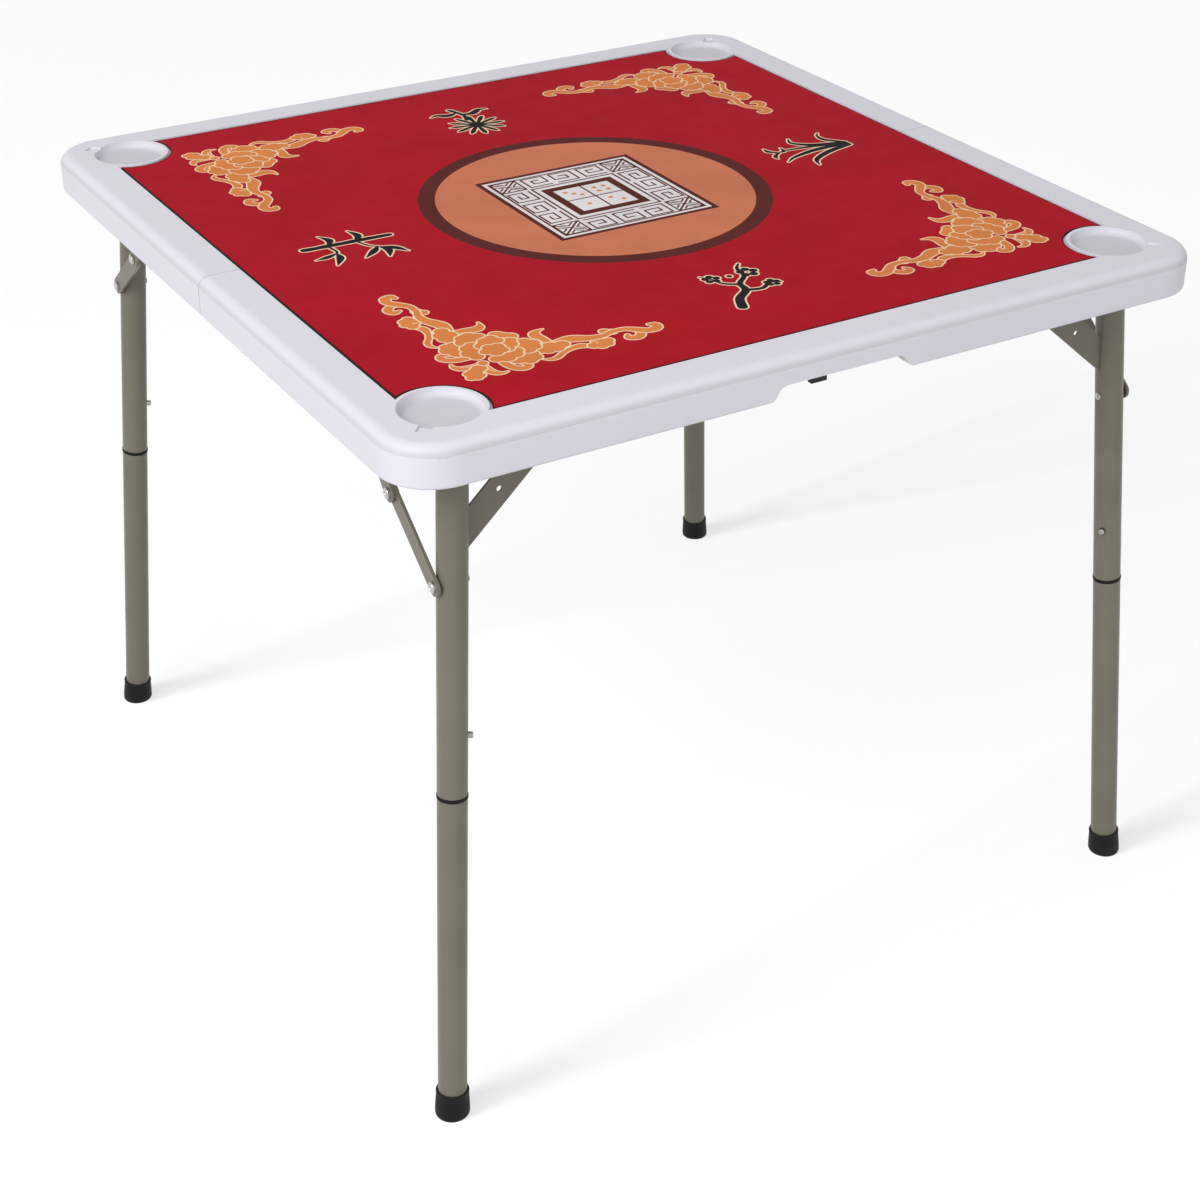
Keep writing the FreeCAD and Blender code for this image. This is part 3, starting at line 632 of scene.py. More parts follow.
def scallop(dabs: Knots, grow: float = 0.0, count: int = 60) -> np.ndarray:
    """Outline of a group of round dabs, as seen from their middle.

    Args:
        dabs: Rows of x, y and radius.
        grow: Margin added all round.
        count: Number of corners.

    Returns:
        The outline's corners.
    """
    dabs = np.asarray(dabs, float)
    middle = dabs[:, :2].mean(0)
    away = dabs[:, :2] - middle
    turn = np.linspace(0, 2 * np.pi, count, endpoint=False)
    ray = np.stack([np.cos(turn), np.sin(turn)], 1)
    along = ray @ away.T
    across = ray[:, :1] * away[:, 1] - ray[:, 1:] * away[:, 0]
    root = (dabs[:, 2] + grow) ** 2 - across**2
    reach = np.where(root > 0, along + np.sqrt(np.maximum(root, 0)), 0).max(1)
    return middle + ray * reach[:, None]


def block(x: float, y: float, half_x: float, half_y: float) -> np.ndarray:
    """Corners of an upright rectangle about a middle point."""
    signs = np.array([(-1, -1), (1, -1), (1, 1), (-1, 1)], float)
    return np.array([x, y]) + signs * (half_x, half_y)


def inside(points: np.ndarray, outline: np.ndarray) -> np.ndarray:
    """Which points lie in an outline, also where it crosses itself.

    Args:
        points: Rows of x and y.
        outline: The outline's corners.

    Returns:
        True for each point that is inside.
    """
    x, y = points[:, 0][:, None], points[:, 1][:, None]
    x0, y0 = outline.T
    x1, y1 = np.roll(outline, -1, 0).T
    turn = (x1 - x0) * (y - y0) - (x - x0) * (y1 - y0)
    up = (y0 <= y) & (y1 > y) & (turn > 0)
    down = (y0 > y) & (y1 <= y) & (turn < 0)
    return (up.sum(1) - down.sum(1)) != 0


# Petals of a small blossom, the turn of the first in degrees, and their radius as a share of the reach.
PETALS = 5
PETAL_TURN = 12
PETAL_SHARE = 0.62


def bloom(x: float, y: float, reach: float) -> list[tuple[float, float, float]]:
    """Middles and radii of the round petals of a small blossom."""
    turns = np.radians(np.arange(PETALS) * 360 / PETALS + PETAL_TURN)
    return [(x + reach * math.sin(a), y + reach * math.cos(a), reach * PETAL_SHARE) for a in turns]


@dataclass
class MatPrint:
    """Drawing on the mat, in millimetres from its middle.

    Shapes are kept in the order they are printed, later ones on top.
    """

    # Squared spiral of the key pattern, in steps from its middle, and how many it reaches.
    SPIRAL_REACH = 3
    SPIRAL = ((-3, -3), (3, -3), (3, 3), (-3, 3), (-3, -1), (1, -1), (1, 1), (-1, 1))
    # Signs of the side and height of each cell, and the places of its pips.
    PIPS = (
        (-1, 1, ((-6.5, 6.5), (0, 0), (6.5, -6.5))),
        (1, -1, ((-5, 5), (5, -5))),
        (-1, -1, ((0, 0),)),
        (1, 1, ((-5.5, 5.5), (5.5, 5.5), (-5.5, -5.5), (5.5, -5.5))),
    )

    half: float
    ring_radius: float = 184.0
    field_radius: float = 166.5
    ring_corners: int = 128
    frame_half: float = 93.0
    frame_width: float = 5.5
    band_half: float = 83.5
    core_half: float = 50.0
    band_width: float = 2.4
    spiral_share: float = 0.86
    spiral_width: float = 0.56
    box_width: float = 2.2
    diagonal_share: float = 0.94
    diagonal_width: float = 2.3
    dart_shares: tuple[float, float] = (0.42, 0.84)
    dart_width: float = 1.9
    straight_step: float = 9.0
    cell_half: float = 42.0
    cell_width: float = 9.5
    cross_half: float = 1.1
    pip_place: float = 16.5
    pip_radius: float = 2.7
    pip_corners: int = 16
    dab_corners: int = 20
    leaf_line: float = 1.5
    corner_shift: float = 6.0
    mark_place: float = 117.0
    mark_line: float = 1.7
    shapes: list[tuple[Ink, np.ndarray]] = field(default_factory=list)

    def lay(self, ink: Ink, outline: np.ndarray) -> None:
        """Adds a shape on top of the others."""
        self.shapes.append((ink, np.asarray(outline, float)))

    def square_line(self, half: float, width: float) -> None:
        """Draws a brown square line about the middle, on white."""
        self.lay(Ink.BROWN, block(0, 0, half, half))
        self.lay(Ink.WHITE, block(0, 0, half - width, half - width))

    def bars(self, path: Sequence[Sequence[float]], width: float) -> None:
        """Draws brown bars along a path of level and upright runs.

        Args:
            path: Places of the ends and corners.
            width: Width of the bars.
        """
        for (x0, y0), (x1, y1) in zip(path, path[1:]):
            reach_x = abs(x1 - x0) / 2 + width / 2
            reach_y = abs(y1 - y0) / 2 + width / 2
            self.lay(Ink.BROWN, block((x0 + x1) / 2, (y0 + y1) / 2, reach_x, reach_y))

    def stroke(self, path: Sequence[Sequence[float]], width: float) -> None:
        """Draws a straight brown line with round ends."""
        self.lay(Ink.BROWN, brush([(*place, width) for place in path], step=self.straight_step))

    def medallion(self) -> None:
        """Draws the round field with its key-pattern square and pips."""
        self.lay(Ink.BROWN, disc(0, 0, self.ring_radius, self.ring_corners))
        self.lay(Ink.PEACH, disc(0, 0, self.field_radius, self.ring_corners))
        self.square_line(self.frame_half, self.frame_width)
        self.square_line(self.band_half, self.band_width)
        self.square_line(self.core_half, self.band_width)
        band = (self.band_half + self.core_half) / 2
        reach = (self.band_half - self.core_half) / 2 - self.band_width
        for quarter in range(4):
            turn = Matrix.Rotation(quarter * math.pi / 2, 2)
            start = len(self.shapes)
            for n in (-1, 0, 1):
                self.key(n * 2 * self.core_half / 3, band, reach * self.spiral_share, n != 0)
            self.crossed_box(band, band, reach)
            for k in range(start, len(self.shapes)):
                ink, outline = self.shapes[k]
                self.shapes[k] = (ink, outline @ np.array(turn).T)
        self.square_line(self.cell_half, self.cell_width)
        cross_reach = self.cell_half - self.cell_width
        self.lay(Ink.BROWN, block(0, 0, self.cross_half, cross_reach))
        self.lay(Ink.BROWN, block(0, 0, cross_reach, self.cross_half))
        for side, rise, places in self.PIPS:
            for x, y in places:
                place = (side * self.pip_place + x, rise * self.pip_place + y)
                self.lay(Ink.GOLD, disc(*place, self.pip_radius, self.pip_corners))

    def key(self, x: float, y: float, reach: float, mirrored: bool) -> None:
        """Draws one squared spiral of the key pattern.

        Args:
            x: Place of its middle across.
            y: Place of its middle upwards.
            reach: Half its side.
            mirrored: Whether left and right are swapped.
        """
        pitch = reach / self.SPIRAL_REACH
        sign = -1 if mirrored else 1
        path = [(x + sign * across * pitch, y + up * pitch) for across, up in self.SPIRAL]
        self.bars(path, pitch * self.spiral_width)

    def crossed_box(self, x: float, y: float, reach: float) -> None:
        """Draws a corner box of the band with its two diagonals and a dart on each side.

        Args:
            x: Place of its middle across.
            y: Place of its middle upwards.
            reach: Half its side.
        """
        box = [(x - reach, y - reach), (x + reach, y - reach), (x + reach, y + reach), (x - reach, y + reach)]
        self.bars([*box, box[0]], self.box_width)
        r = reach * self.diagonal_share
        for way in (-1, 1):
            self.stroke([(x - r, y - way * r), (x, y), (x + r, y + way * r)], self.diagonal_width)
        inner, outer = self.dart_shares
        for dx, dy in ((1, 0), (-1, 0), (0, 1), (0, -1)):
            tip = np.array([x + dx * reach * inner, y + dy * reach * inner])
            for way in (-1, 1):
                end = np.array([x + dx * reach * outer + dy * way * reach * inner,
                                y + dy * reach * outer + dx * way * reach * inner])
                self.stroke([tip, (tip + end) / 2, end], self.dart_width)

    def leafy(self, outline: Callable[[float], np.ndarray]) -> None:
        """Prints a gold shape with a pale line round it.

        Args:
            outline: Gives the shape's corners, grown by a margin.
        """
        self.lay(Ink.CREAM, outline(self.leaf_line))
        self.lay(Ink.GOLD, outline(0.0))

    def twins(self, draw: Callable, *groups: Knots) -> None:
        """Prints leafy shapes on both scrolls of a corner.

        Args:
            draw: Makes an outline from rows and a margin.
            groups: Rows of each shape on the front scroll.
        """
        for rows in groups:
            for way in (rows, [(y, x, w) for x, y, w in rows]):
                self.leafy(lambda grow, way=way: draw(way, grow))

    def veins(self, *groups: Knots) -> None:
        """Prints thin pale lines on both scrolls of a corner.

        Args:
            groups: Rows of each line on the front scroll.
        """
        for rows in groups:
            for way in (rows, [(y, x, w) for x, y, w in rows]):
                self.lay(Ink.CREAM, brush(way))

    def scrolls(self) -> None:
        """Prints the stems and leaves of one corner.

        Places are measured from the corner, along the front edge and away from it, for the scroll
        that follows the front edge. The other scroll is the same with the two swapped.
        """
        stem = ((171, 98, 8), (184, 97, 13), (199, 90, 10), (212, 88.5, 7), (224, 92, 6), (237, 91, 7),
                (246, 84, 9), (254, 78, 9), (263, 79, 9.5), (266, 86, 8), (261, 89, 4))
        bump = ((218, 96, 5), (223, 92, 5))
        hook = ((243, 88, 6), (245, 77, 7.5), (238, 70, 8.5), (230, 72.5, 7), (232, 79, 3.5))
        tendril = ((190, 76, 7), (183, 79.5, 8), (173, 78.5, 5.5), (163, 74.5, 5), (154, 68.5, 5.5),
                   (147, 67.5, 4), (141, 71, 1.0))
        tuft = ((194, 74, 5.5), (200, 69.5, 5), (207, 71.5, 5.5), (211, 77, 5), (202, 79, 7))
        tuft_vein = ((196, 84, 0.9), (200, 80, 0.9), (199, 76, 0.9))
        flame = ((162, 98, 8), (162, 110, 7.5), (159.5, 119, 10.5), (162, 125, 9), (167, 128, 4),
                 (172, 129, 1.2))
        leaf = ((146, 89, 6), (154, 86, 6.5), (163, 86, 7), (171, 91, 7), (160, 93, 8), (151, 94, 6))
        curl = ((92, 108, 7), (81, 107.5, 7.5), (70, 110, 8), (63.5, 117, 7.5), (67, 124, 6.5),
                (73, 120.5, 3.5))
        bud_side = ((88, 90, 5), (77, 88.5, 8), (68.5, 90.5, 7.5), (64.5, 96, 4.5), (65, 102, 1.0))
        bud = ((70, 77, 5), (68, 69, 4.5), (73, 67, 4.5), (77, 70, 5), (76, 78, 7), (83, 83, 7))
        bud_vein = ((84, 91, 0.9), (76, 90, 0.9), (70, 92, 0.9))
        # Later shapes lie on top of earlier ones.
        self.twins(scallop, bump)
        self.twins(brush, hook, tendril)
        self.twins(scallop, tuft)
        self.twins(brush, stem, flame)
        self.twins(scallop, leaf)
        self.twins(brush, curl, bud_side)
        self.veins(tuft_vein, bud_vein)
        self.leafy(lambda grow: scallop(bud, grow))

    def peony(self) -> None:
        """Prints the blossom of one corner, from its rear petals to its heart."""
        rear = ((121, 82, 8), (130, 76, 7), (137, 79, 6.5), (128, 87, 9), (138, 87, 6.5))
        side = ((144, 113, 7.5), (150, 107, 6.5), (147, 100, 7), (139, 96, 7), (138, 107, 10))
        far = ((130, 139, 7), (139, 130, 7), (134, 134, 7), (126, 132, 8), (132, 126, 8))
        near = ((106, 93, 6.5), (115, 90, 7.5), (125, 94, 7.5), (117, 98, 9), (130, 100, 6))
        inner = ((131, 115, 7.5), (135, 122, 6), (128, 125, 6), (125, 117, 8), (124, 108, 7))
        heart = ((105, 111, 6), (111, 118, 6), (119, 116, 6.5), (119, 108, 6.5), (112, 105, 6.5),
                 (113, 112, 8))
        x, y, radius = 91, 91, 4.5
        self.twins(scallop, rear, side)
        self.leafy(lambda grow: scallop(far, grow))
        self.twins(scallop, near, inner)
        self.leafy(lambda grow: scallop(heart, grow))
        self.leafy(lambda grow: disc(x, y, radius + grow, self.dab_corners))

    def corners(self) -> None:
        """Prints a peony with two leafy scrolls in each corner."""
        start = len(self.shapes)
        self.scrolls()
        self.peony()
        drawn = self.shapes[start:]
        del self.shapes[start:]
        for across, along in ((-1, -1), (1, -1), (1, 1), (-1, 1)):
            for ink, outline in drawn:
                place = outline + (self.corner_shift - self.half, -self.corner_shift - self.half)
                self.lay(ink, place * (-across, -along))

    def seat_mark(self, quarter: int, runs: Sequence[Knots], spots: Knots) -> None:
        """Prints a black plant mark with a pale edge in front of one seat.

        Args:
            quarter: Quarter turns from the front seat, towards the right.
            runs: Brush strokes, with the mark's top towards the middle.
            spots: Middles and radii of round dabs.
        """
        turn = np.array(Matrix.Rotation(quarter * math.pi / 2, 2))
        for ink, grow in ((Ink.CREAM, self.mark_line), (Ink.BLACK, 0.0)):
            strokes = [brush(run, grow) for run in runs]
            dabs = [disc(x, y, r + grow, self.dab_corners) for x, y, r in spots]
            for outline in strokes + dabs:
                self.lay(ink, (outline + (0, -self.half + self.mark_place)) @ turn.T)

    def plum(self) -> None:
        """Prints the flowering branch of the front seat."""
        runs = (
            ((-31, -44, 10), (-22, -26, 9), (-6, -12, 8), (-2, 4, 6), (12, 18, 5), (16, 36, 4), (24, 46, 2)),
            ((-6, -12, 6), (10, -16, 5), (24, -8, 4), (34, -12, 2)),
            ((-3, 2, 5), (-16, 12, 4), (-20, 26, 3), (-27, 36, 1.5)),
        )
        spots = [*bloom(20, 24, 7), *bloom(-20, 26, 6), *bloom(26, -9, 5.5), (-1, 24, 3)]
        self.seat_mark(0, runs, spots)

    def orchid(self) -> None:
        """Prints the long leaves and one blossom of the right seat."""
        runs = (
            ((-4, -44, 7), (-12, -12, 8), (-26, 14, 6), (-42, 22, 1)),
            ((0, -44, 7), (0, -4, 8), (-8, 30, 5), (-18, 46, 1)),
            ((4, -44, 7), (14, -10, 8), (30, 8, 5), (44, 4, 1)),
            ((2, -44, 6), (10, -8, 6), (14, 22, 4), (12, 40, 2)),
            ((6, -44, 5), (22, -30, 6), (36, -30, 3), (44, -36, 1)),
            ((12, 38, 2), (20, 46, 6), (30, 46, 1)),
            ((12, 38, 2), (4, 48, 5), (-4, 50, 1)),
            ((12, 38, 2), (14, 30, 5), (24, 28, 1)),
        )
        self.seat_mark(1, runs, [(12, 40, 3)])

    def chrysanthemum(self) -> None:
        """Prints the rayed blossom with two leaves of the back seat."""
        height = 14
        rays, first = 12, 8
        ray = ((0, 3), (10, 4.5), (25, 5.5), (31, 2))
        runs = []
        for angle in np.radians(np.arange(rays) * 360 / rays + first):
            s, c = math.sin(angle), math.cos(angle)
            runs.append([(reach * s, height + reach * c, width) for reach, width in ray])
        runs += [
            ((2, -6, 5), (-2, -24, 5), (4, -46, 6)),
            ((0, -26, 3), (-14, -24, 9), (-26, -32, 7), (-36, -30, 1)),
            ((2, -34, 3), (14, -30, 9), (25, -36, 6), (34, -33, 1)),
        ]
        self.seat_mark(2, runs, [(0, height, 6)])

    def bamboo(self) -> None:
        """Prints the jointed cane with its leaves of the left seat."""
        runs = (
            ((-14, -46, 9), (-13, -34, 8), (-13, -24, 9)),
            ((-13, -19, 9), (-12, -6, 8), (-12, 6, 9)),
            ((-12, 11, 9), (-11, 24, 8), (-10, 44, 7)),
            ((-10, 8, 3), (6, 14, 3), (14, 22, 2)),
            ((14, 22, 2), (26, 26, 8), (42, 20, 1)),
            ((14, 22, 2), (24, 34, 8), (38, 42, 1)),
            ((12, 21, 2), (22, 12, 8), (34, -2, 1)),
            ((-12, -22, 3), (4, -20, 3), (10, -22, 2)),
            ((10, -22, 2), (22, -24, 8), (38, -34, 1)),
            ((9, -22, 2), (14, -34, 7), (16, -47, 1)),
            ((-12, 9, 3), (-24, 16, 8), (-40, 12, 1)),
            ((-13, -21, 2), (-26, -14, 8), (-40, -20, 1)),
        )
        self.seat_mark(3, runs, [])

    def draw(self) -> None:
        """Prints everything that lies on the red ground."""
        self.corners()
        self.plum()
        self.orchid()
        self.chrysanthemum()
        self.bamboo()
        self.medallion()


@dataclass
class PlayingMat:
    """Printed cloth mat on a black rubber back, laid in the recess, in millimetres."""

    # Long, crossing and short waves of the ripple: radians per ripple length along x and y, and a shift.
    RIPPLES = ((1.7, 0.6, 0.0), (0.0, 1.1, -0.4), (1.9, 3.1, 1.0))

    dish_place: float = 370.0
    notch_radius: float = 44.3
    notch_points: int = 25
    # Width of the dark band along the cut edge, part black rubber and part painted shade, left where the red
    # stops short.
    cut_edge: float = 1.0
    ripple: float = 0.12
    ripple_length: float = 100.0
    ripple_fade: float = 40.0
    short_share: float = 0.5
    trim: float = 0.8
    mesh_step: float = 13.0
    mesh_share: float = 0.985
    merge: float = 0.001
    level: float = 0.9

    def outline(self, half: float, inset: float = 0.0) -> np.ndarray:
        """Edge of the mat, moved in by an inset, with a round notch at each corner.

        Args:
            half: Half the side of the mat.
            inset: Distance from the cut edge.

        Returns:
            The edge's corners.
        """
        reach = half - inset - self.dish_place
        radius = self.notch_radius + inset
        angle = math.degrees(math.acos(reach / radius))
        turns = np.radians(np.linspace(-angle, -270 + angle, self.notch_points))
        arc = self.dish_place + radius * np.stack([np.cos(turns), np.sin(turns)], 1)
        corners = [arc @ np.array(Matrix.Rotation(q * math.pi / 2, 2)).T for q in range(4)]
        return np.vstack(corners)

    def rise(self, points: np.ndarray, half: float) -> np.ndarray:
        """Height of the slight ripple of the laid cloth, which fades at the edge.

        Args:
            points: Rows of x and y.
            half: Half the side of the mat.

        Returns:
            Height at each point, from 0 down.
        """
        x, y = points.T / self.ripple_length
        long, cross, short = [a * x + b * y + shift for a, b, shift in self.RIPPLES]
        wave = np.sin(long) * np.cos(cross) + self.short_share * np.sin(short)
        edge = np.clip((half - np.abs(points).max(1)) / self.ripple_fade, 0, 1)
        return -self.ripple / 2 * (1 + wave / (1 + self.short_share)) * edge

    def triangles(self, half: float, runs: Sequence[np.ndarray]) -> tuple[np.ndarray, np.ndarray]:
        """Fills the mat with triangles that follow all the printed outlines.

        Args:
            half: Half the side of the mat.
            runs: The cut edge first, then the outlines.

        Returns:
            Flat corners, and the corner numbers of each triangle.
        """
        spread = np.arange(-half + self.mesh_step, half, self.mesh_step)
        inner = np.stack(np.meshgrid(spread, spread), -1).reshape(-1, 2)
        inner = inner[inside(inner, runs[0] * self.mesh_share)]
        points = [Vector(p) for p in inner]
        links = []
        for run in runs:
            first = len(points)
            points += [Vector(p) for p in run]
            links += [(first + k, first + (k + 1) % len(run)) for k in range(len(run))]
        flat, _, faces, *_ = delaunay_2d_cdt(points, links, [], 0, self.merge, False)
        return np.array([tuple(p) for p in flat]), np.array(faces)

    def build(self) -> bpy.types.Object:
        """Makes the mat as one closed sheet with its print on top.

        Returns:
            The mat's object.
        """
        low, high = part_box("playing_mat")
        half = high.x / MM - self.trim
        art = MatPrint(half)
        # The red ground stops short of the cut edge, leaving a dark band: part black rubber, part painted
        # shade of the gap along the rim.
        art.lay(Ink.RED, self.outline(half, self.cut_edge))
        art.draw()
        edge = self.outline(half)
        flat, faces = self.triangles(half, [edge, *[outline for _, outline in art.shapes]])
        middles = flat[faces].mean(1)
        order = list(Ink)
        picks = np.where(inside(middles, edge), order.index(Ink.EDGE), -1)
        for ink, outline in art.shapes:
            boxed = ((middles > outline.min(0)) & (middles < outline.max(0))).all(1)
            near = np.flatnonzero(boxed & (picks >= 0))
            picks[near[inside(middles[near], outline)]] = order.index(ink)
        shown = picks >= 0
        top = np.column_stack([flat * MM, high.z + self.rise(flat, half) * MM])
        return self.close(top, faces[shown], picks[shown], low.z)

    def close(self, top: np.ndarray, faces: np.ndarray, picks: np.ndarray, floor: float) -> bpy.types.Object:
        """Gives the printed face its cut edge and black back.

        Args:
            top: Corners of the printed face.
            faces: Its triangles.
            picks: Ink of each triangle.
            floor: Height of the back.

        Returns:
            The closed mat.
        """
        black = len(Ink)
        work = bmesh.new()
        corners = [work.verts.new(p) for p in top]
        for triangle, pick in zip(faces, picks):
            work.faces.new([corners[k] for k in triangle]).material_index = int(pick)
        bmesh.ops.delete(work, geom=[v for v in work.verts if not v.link_faces], context="VERTS")
        rim = [e for e in work.edges if e.is_boundary]
        for item in bmesh.ops.extrude_edge_only(work, edges=rim)["geom"]:
            if isinstance(item, bmesh.types.BMVert):
                item.co.z = floor
            elif isinstance(item, bmesh.types.BMFace):
                item.material_index = black
        rim = [e for e in work.edges if e.is_boundary]
        for item in bmesh.ops.triangle_fill(work, edges=rim, use_beauty=True, use_dissolve=False)["geom"]:
            if isinstance(item, bmesh.types.BMFace):
                item.material_index = black
        bmesh.ops.recalc_face_normals(work, faces=work.faces)
        for face in work.faces:
            face.smooth = face.normal.z > self.level
        mesh = bpy.data.meshes.new("printed_mat")
        work.to_mesh(mesh)
        work.free()
        for ink in Ink:
            mesh.materials.append(ink.finish().material())
        mesh.materials.append(BACKING.material())
        mat = bpy.data.objects.new("printed_mat", mesh)
        bpy.context.scene.collection.objects.link(mat)
        return mat

    def dress(self) -> None:
        mat = self.build()
        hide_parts("playing_mat")
        fit(mat, "mat")


class ShapeTree(NodeNet):
    """Geometry node tree that sets one shape on every point of a mesh."""

    # Angle in degrees over which an edge of the made shapes is sharp.
    SHARP = 35

    def __init__(self, name: str) -> None:
        """Starts a tree with a way in for the points and a way out.

        Args:
            name: Name of the tree.
        """
        self.tree = bpy.data.node_groups.new(name, "GeometryNodeTree")
        for way in ("INPUT", "OUTPUT"):
            self.tree.interface.new_socket(name="Geometry", in_out=way, socket_type="NodeSocketGeometry")
        self.start = self.add("NodeGroupInput")
        self.end = self.add("NodeGroupOutput")

    def entry(self, name: str, kind: str = "NodeSocketFloat") -> bpy.types.NodeSocket:
        """Adds a named input, a size unless another kind is asked for."""
        self.tree.interface.new_socket(name=name, in_out="INPUT", socket_type=kind)
        return self.start.outputs[name]

    def curve(self, value: object, heights: Sequence[float]) -> bpy.types.NodeSocket:
        """A value from 0 to 1 read as a height on evenly spaced points.

        Args:
            value: The value.
            heights: Height at each point.

        Returns:
            The socket that gives the height.
        """
        node = self.add("ShaderNodeFloatCurve", {"Value": value})
        points = node.mapping.curves[0].points
        for k, height in enumerate(heights[1:-1], 1):
            points.new(k / (len(heights) - 1), height)
        for point, height in zip(points, heights):
            point.location.y = height
            point.handle_type = "VECTOR"
        node.mapping.update()
        return node.outputs[0]

    def turned(self, profile: Profile, radius: object, height: object, around: int) -> bpy.types.NodeSocket:
        """Makes a closed shape turned about Z.

        Args:
            profile: Shares of the radius and the height, from the middle of the top to that of the base.
            radius: Largest radius.
            height: Whole height, with the base at 0.
            around: Number of faces around.

        Returns:
            The shape.
        """
        # The grid is 1 by 1 about the origin: its width goes round the axis, its depth along the profile.
        values = {"Size X": 1.0, "Size Y": 1.0, "Vertices X": around + 1, "Vertices Y": len(profile)}
        grid = self.add("GeometryNodeMeshGrid", values).outputs["Mesh"]
        position = self.add("GeometryNodeInputPosition").outputs[0]
        spot = self.add("ShaderNodeSeparateXYZ", {0: position}).outputs
        turn = self.maths("MULTIPLY", self.maths("ADD", spot[0], 0.5), 2 * math.pi)
        along = self.maths("ADD", spot[1], 0.5)
        out = self.maths("MULTIPLY", self.curve(along, [r for r, _ in profile]), radius)
        up = self.maths("MULTIPLY", self.curve(along, [h for _, h in profile]), height)
        place = self.add("ShaderNodeCombineXYZ", {
            0: self.maths("MULTIPLY", out, self.maths("COSINE", turn)),
            1: self.maths("MULTIPLY", out, self.maths("SINE", turn)),
            2: up,
        }).outputs[0]
        bent = self.add("GeometryNodeSetPosition", {"Geometry": grid, "Position": place}).outputs[0]
        return self.add("GeometryNodeMergeByDistance", {"Geometry": bent, "Distance": MERGE}).outputs[0]

    def set_out(self, shape: bpy.types.NodeSocket) -> None:
        """Ends the tree with the shape on each point, turned as the point's attribute says.

        Args:
            shape: What stands on each point.
        """
        angles = self.add("GeometryNodeInputNamedAttribute", {"Name": "turn"}, data_type="FLOAT_VECTOR")
        turn = self.add("FunctionNodeEulerToRotation", {0: angles.outputs[0]}).outputs[0]
        values = {"Points": self.start.outputs["Geometry"], "Instance": shape, "Rotation": turn}
        many = self.add("GeometryNodeInstanceOnPoints", values).outputs[0]
        whole = self.add("GeometryNodeRealizeInstances", {"Geometry": many}).outputs[0]
        finish = self.entry("Finish", "NodeSocketMaterial")
        done = self.add("GeometryNodeSetMaterial", {"Geometry": whole, "Material": finish}).outputs[0]
        self.tree.links.new(done, self.end.inputs["Geometry"])

    def make(self, name: str, spots: Sequence[Spot], values: dict[str, object]) -> bpy.types.Object:
        """Runs the tree on a few points and keeps the result as a plain mesh.

        Args:
            name: Name of the piece.
            spots: Place and turn of each copy.
            values: Inputs of the tree by name.

        Returns:
            The piece.
        """
        seed = mesh_object(f"{name}_places", [place for place, _ in spots], [], [])
        turns = seed.data.attributes.new("turn", "FLOAT_VECTOR", "POINT")
        for item, (_, turn) in zip(turns.data, spots):
            item.vector = turn
        modifier = seed.modifiers.new("set_out", "NODES")
        modifier.node_group = self.tree
        for item in self.tree.interface.items_tree:
            if item.in_out == "INPUT" and item.name in values:
                modifier[item.identifier] = values[item.name]
        mesh = bpy.data.meshes.new_from_object(seed.evaluated_get(bpy.context.evaluated_depsgraph_get()))
        seed.modifiers.remove(modifier)
        bpy.data.objects.remove(seed)
        made = bpy.data.objects.new(name, mesh)
        bpy.context.scene.collection.objects.link(made)
        return tidy(made, self.SHARP)


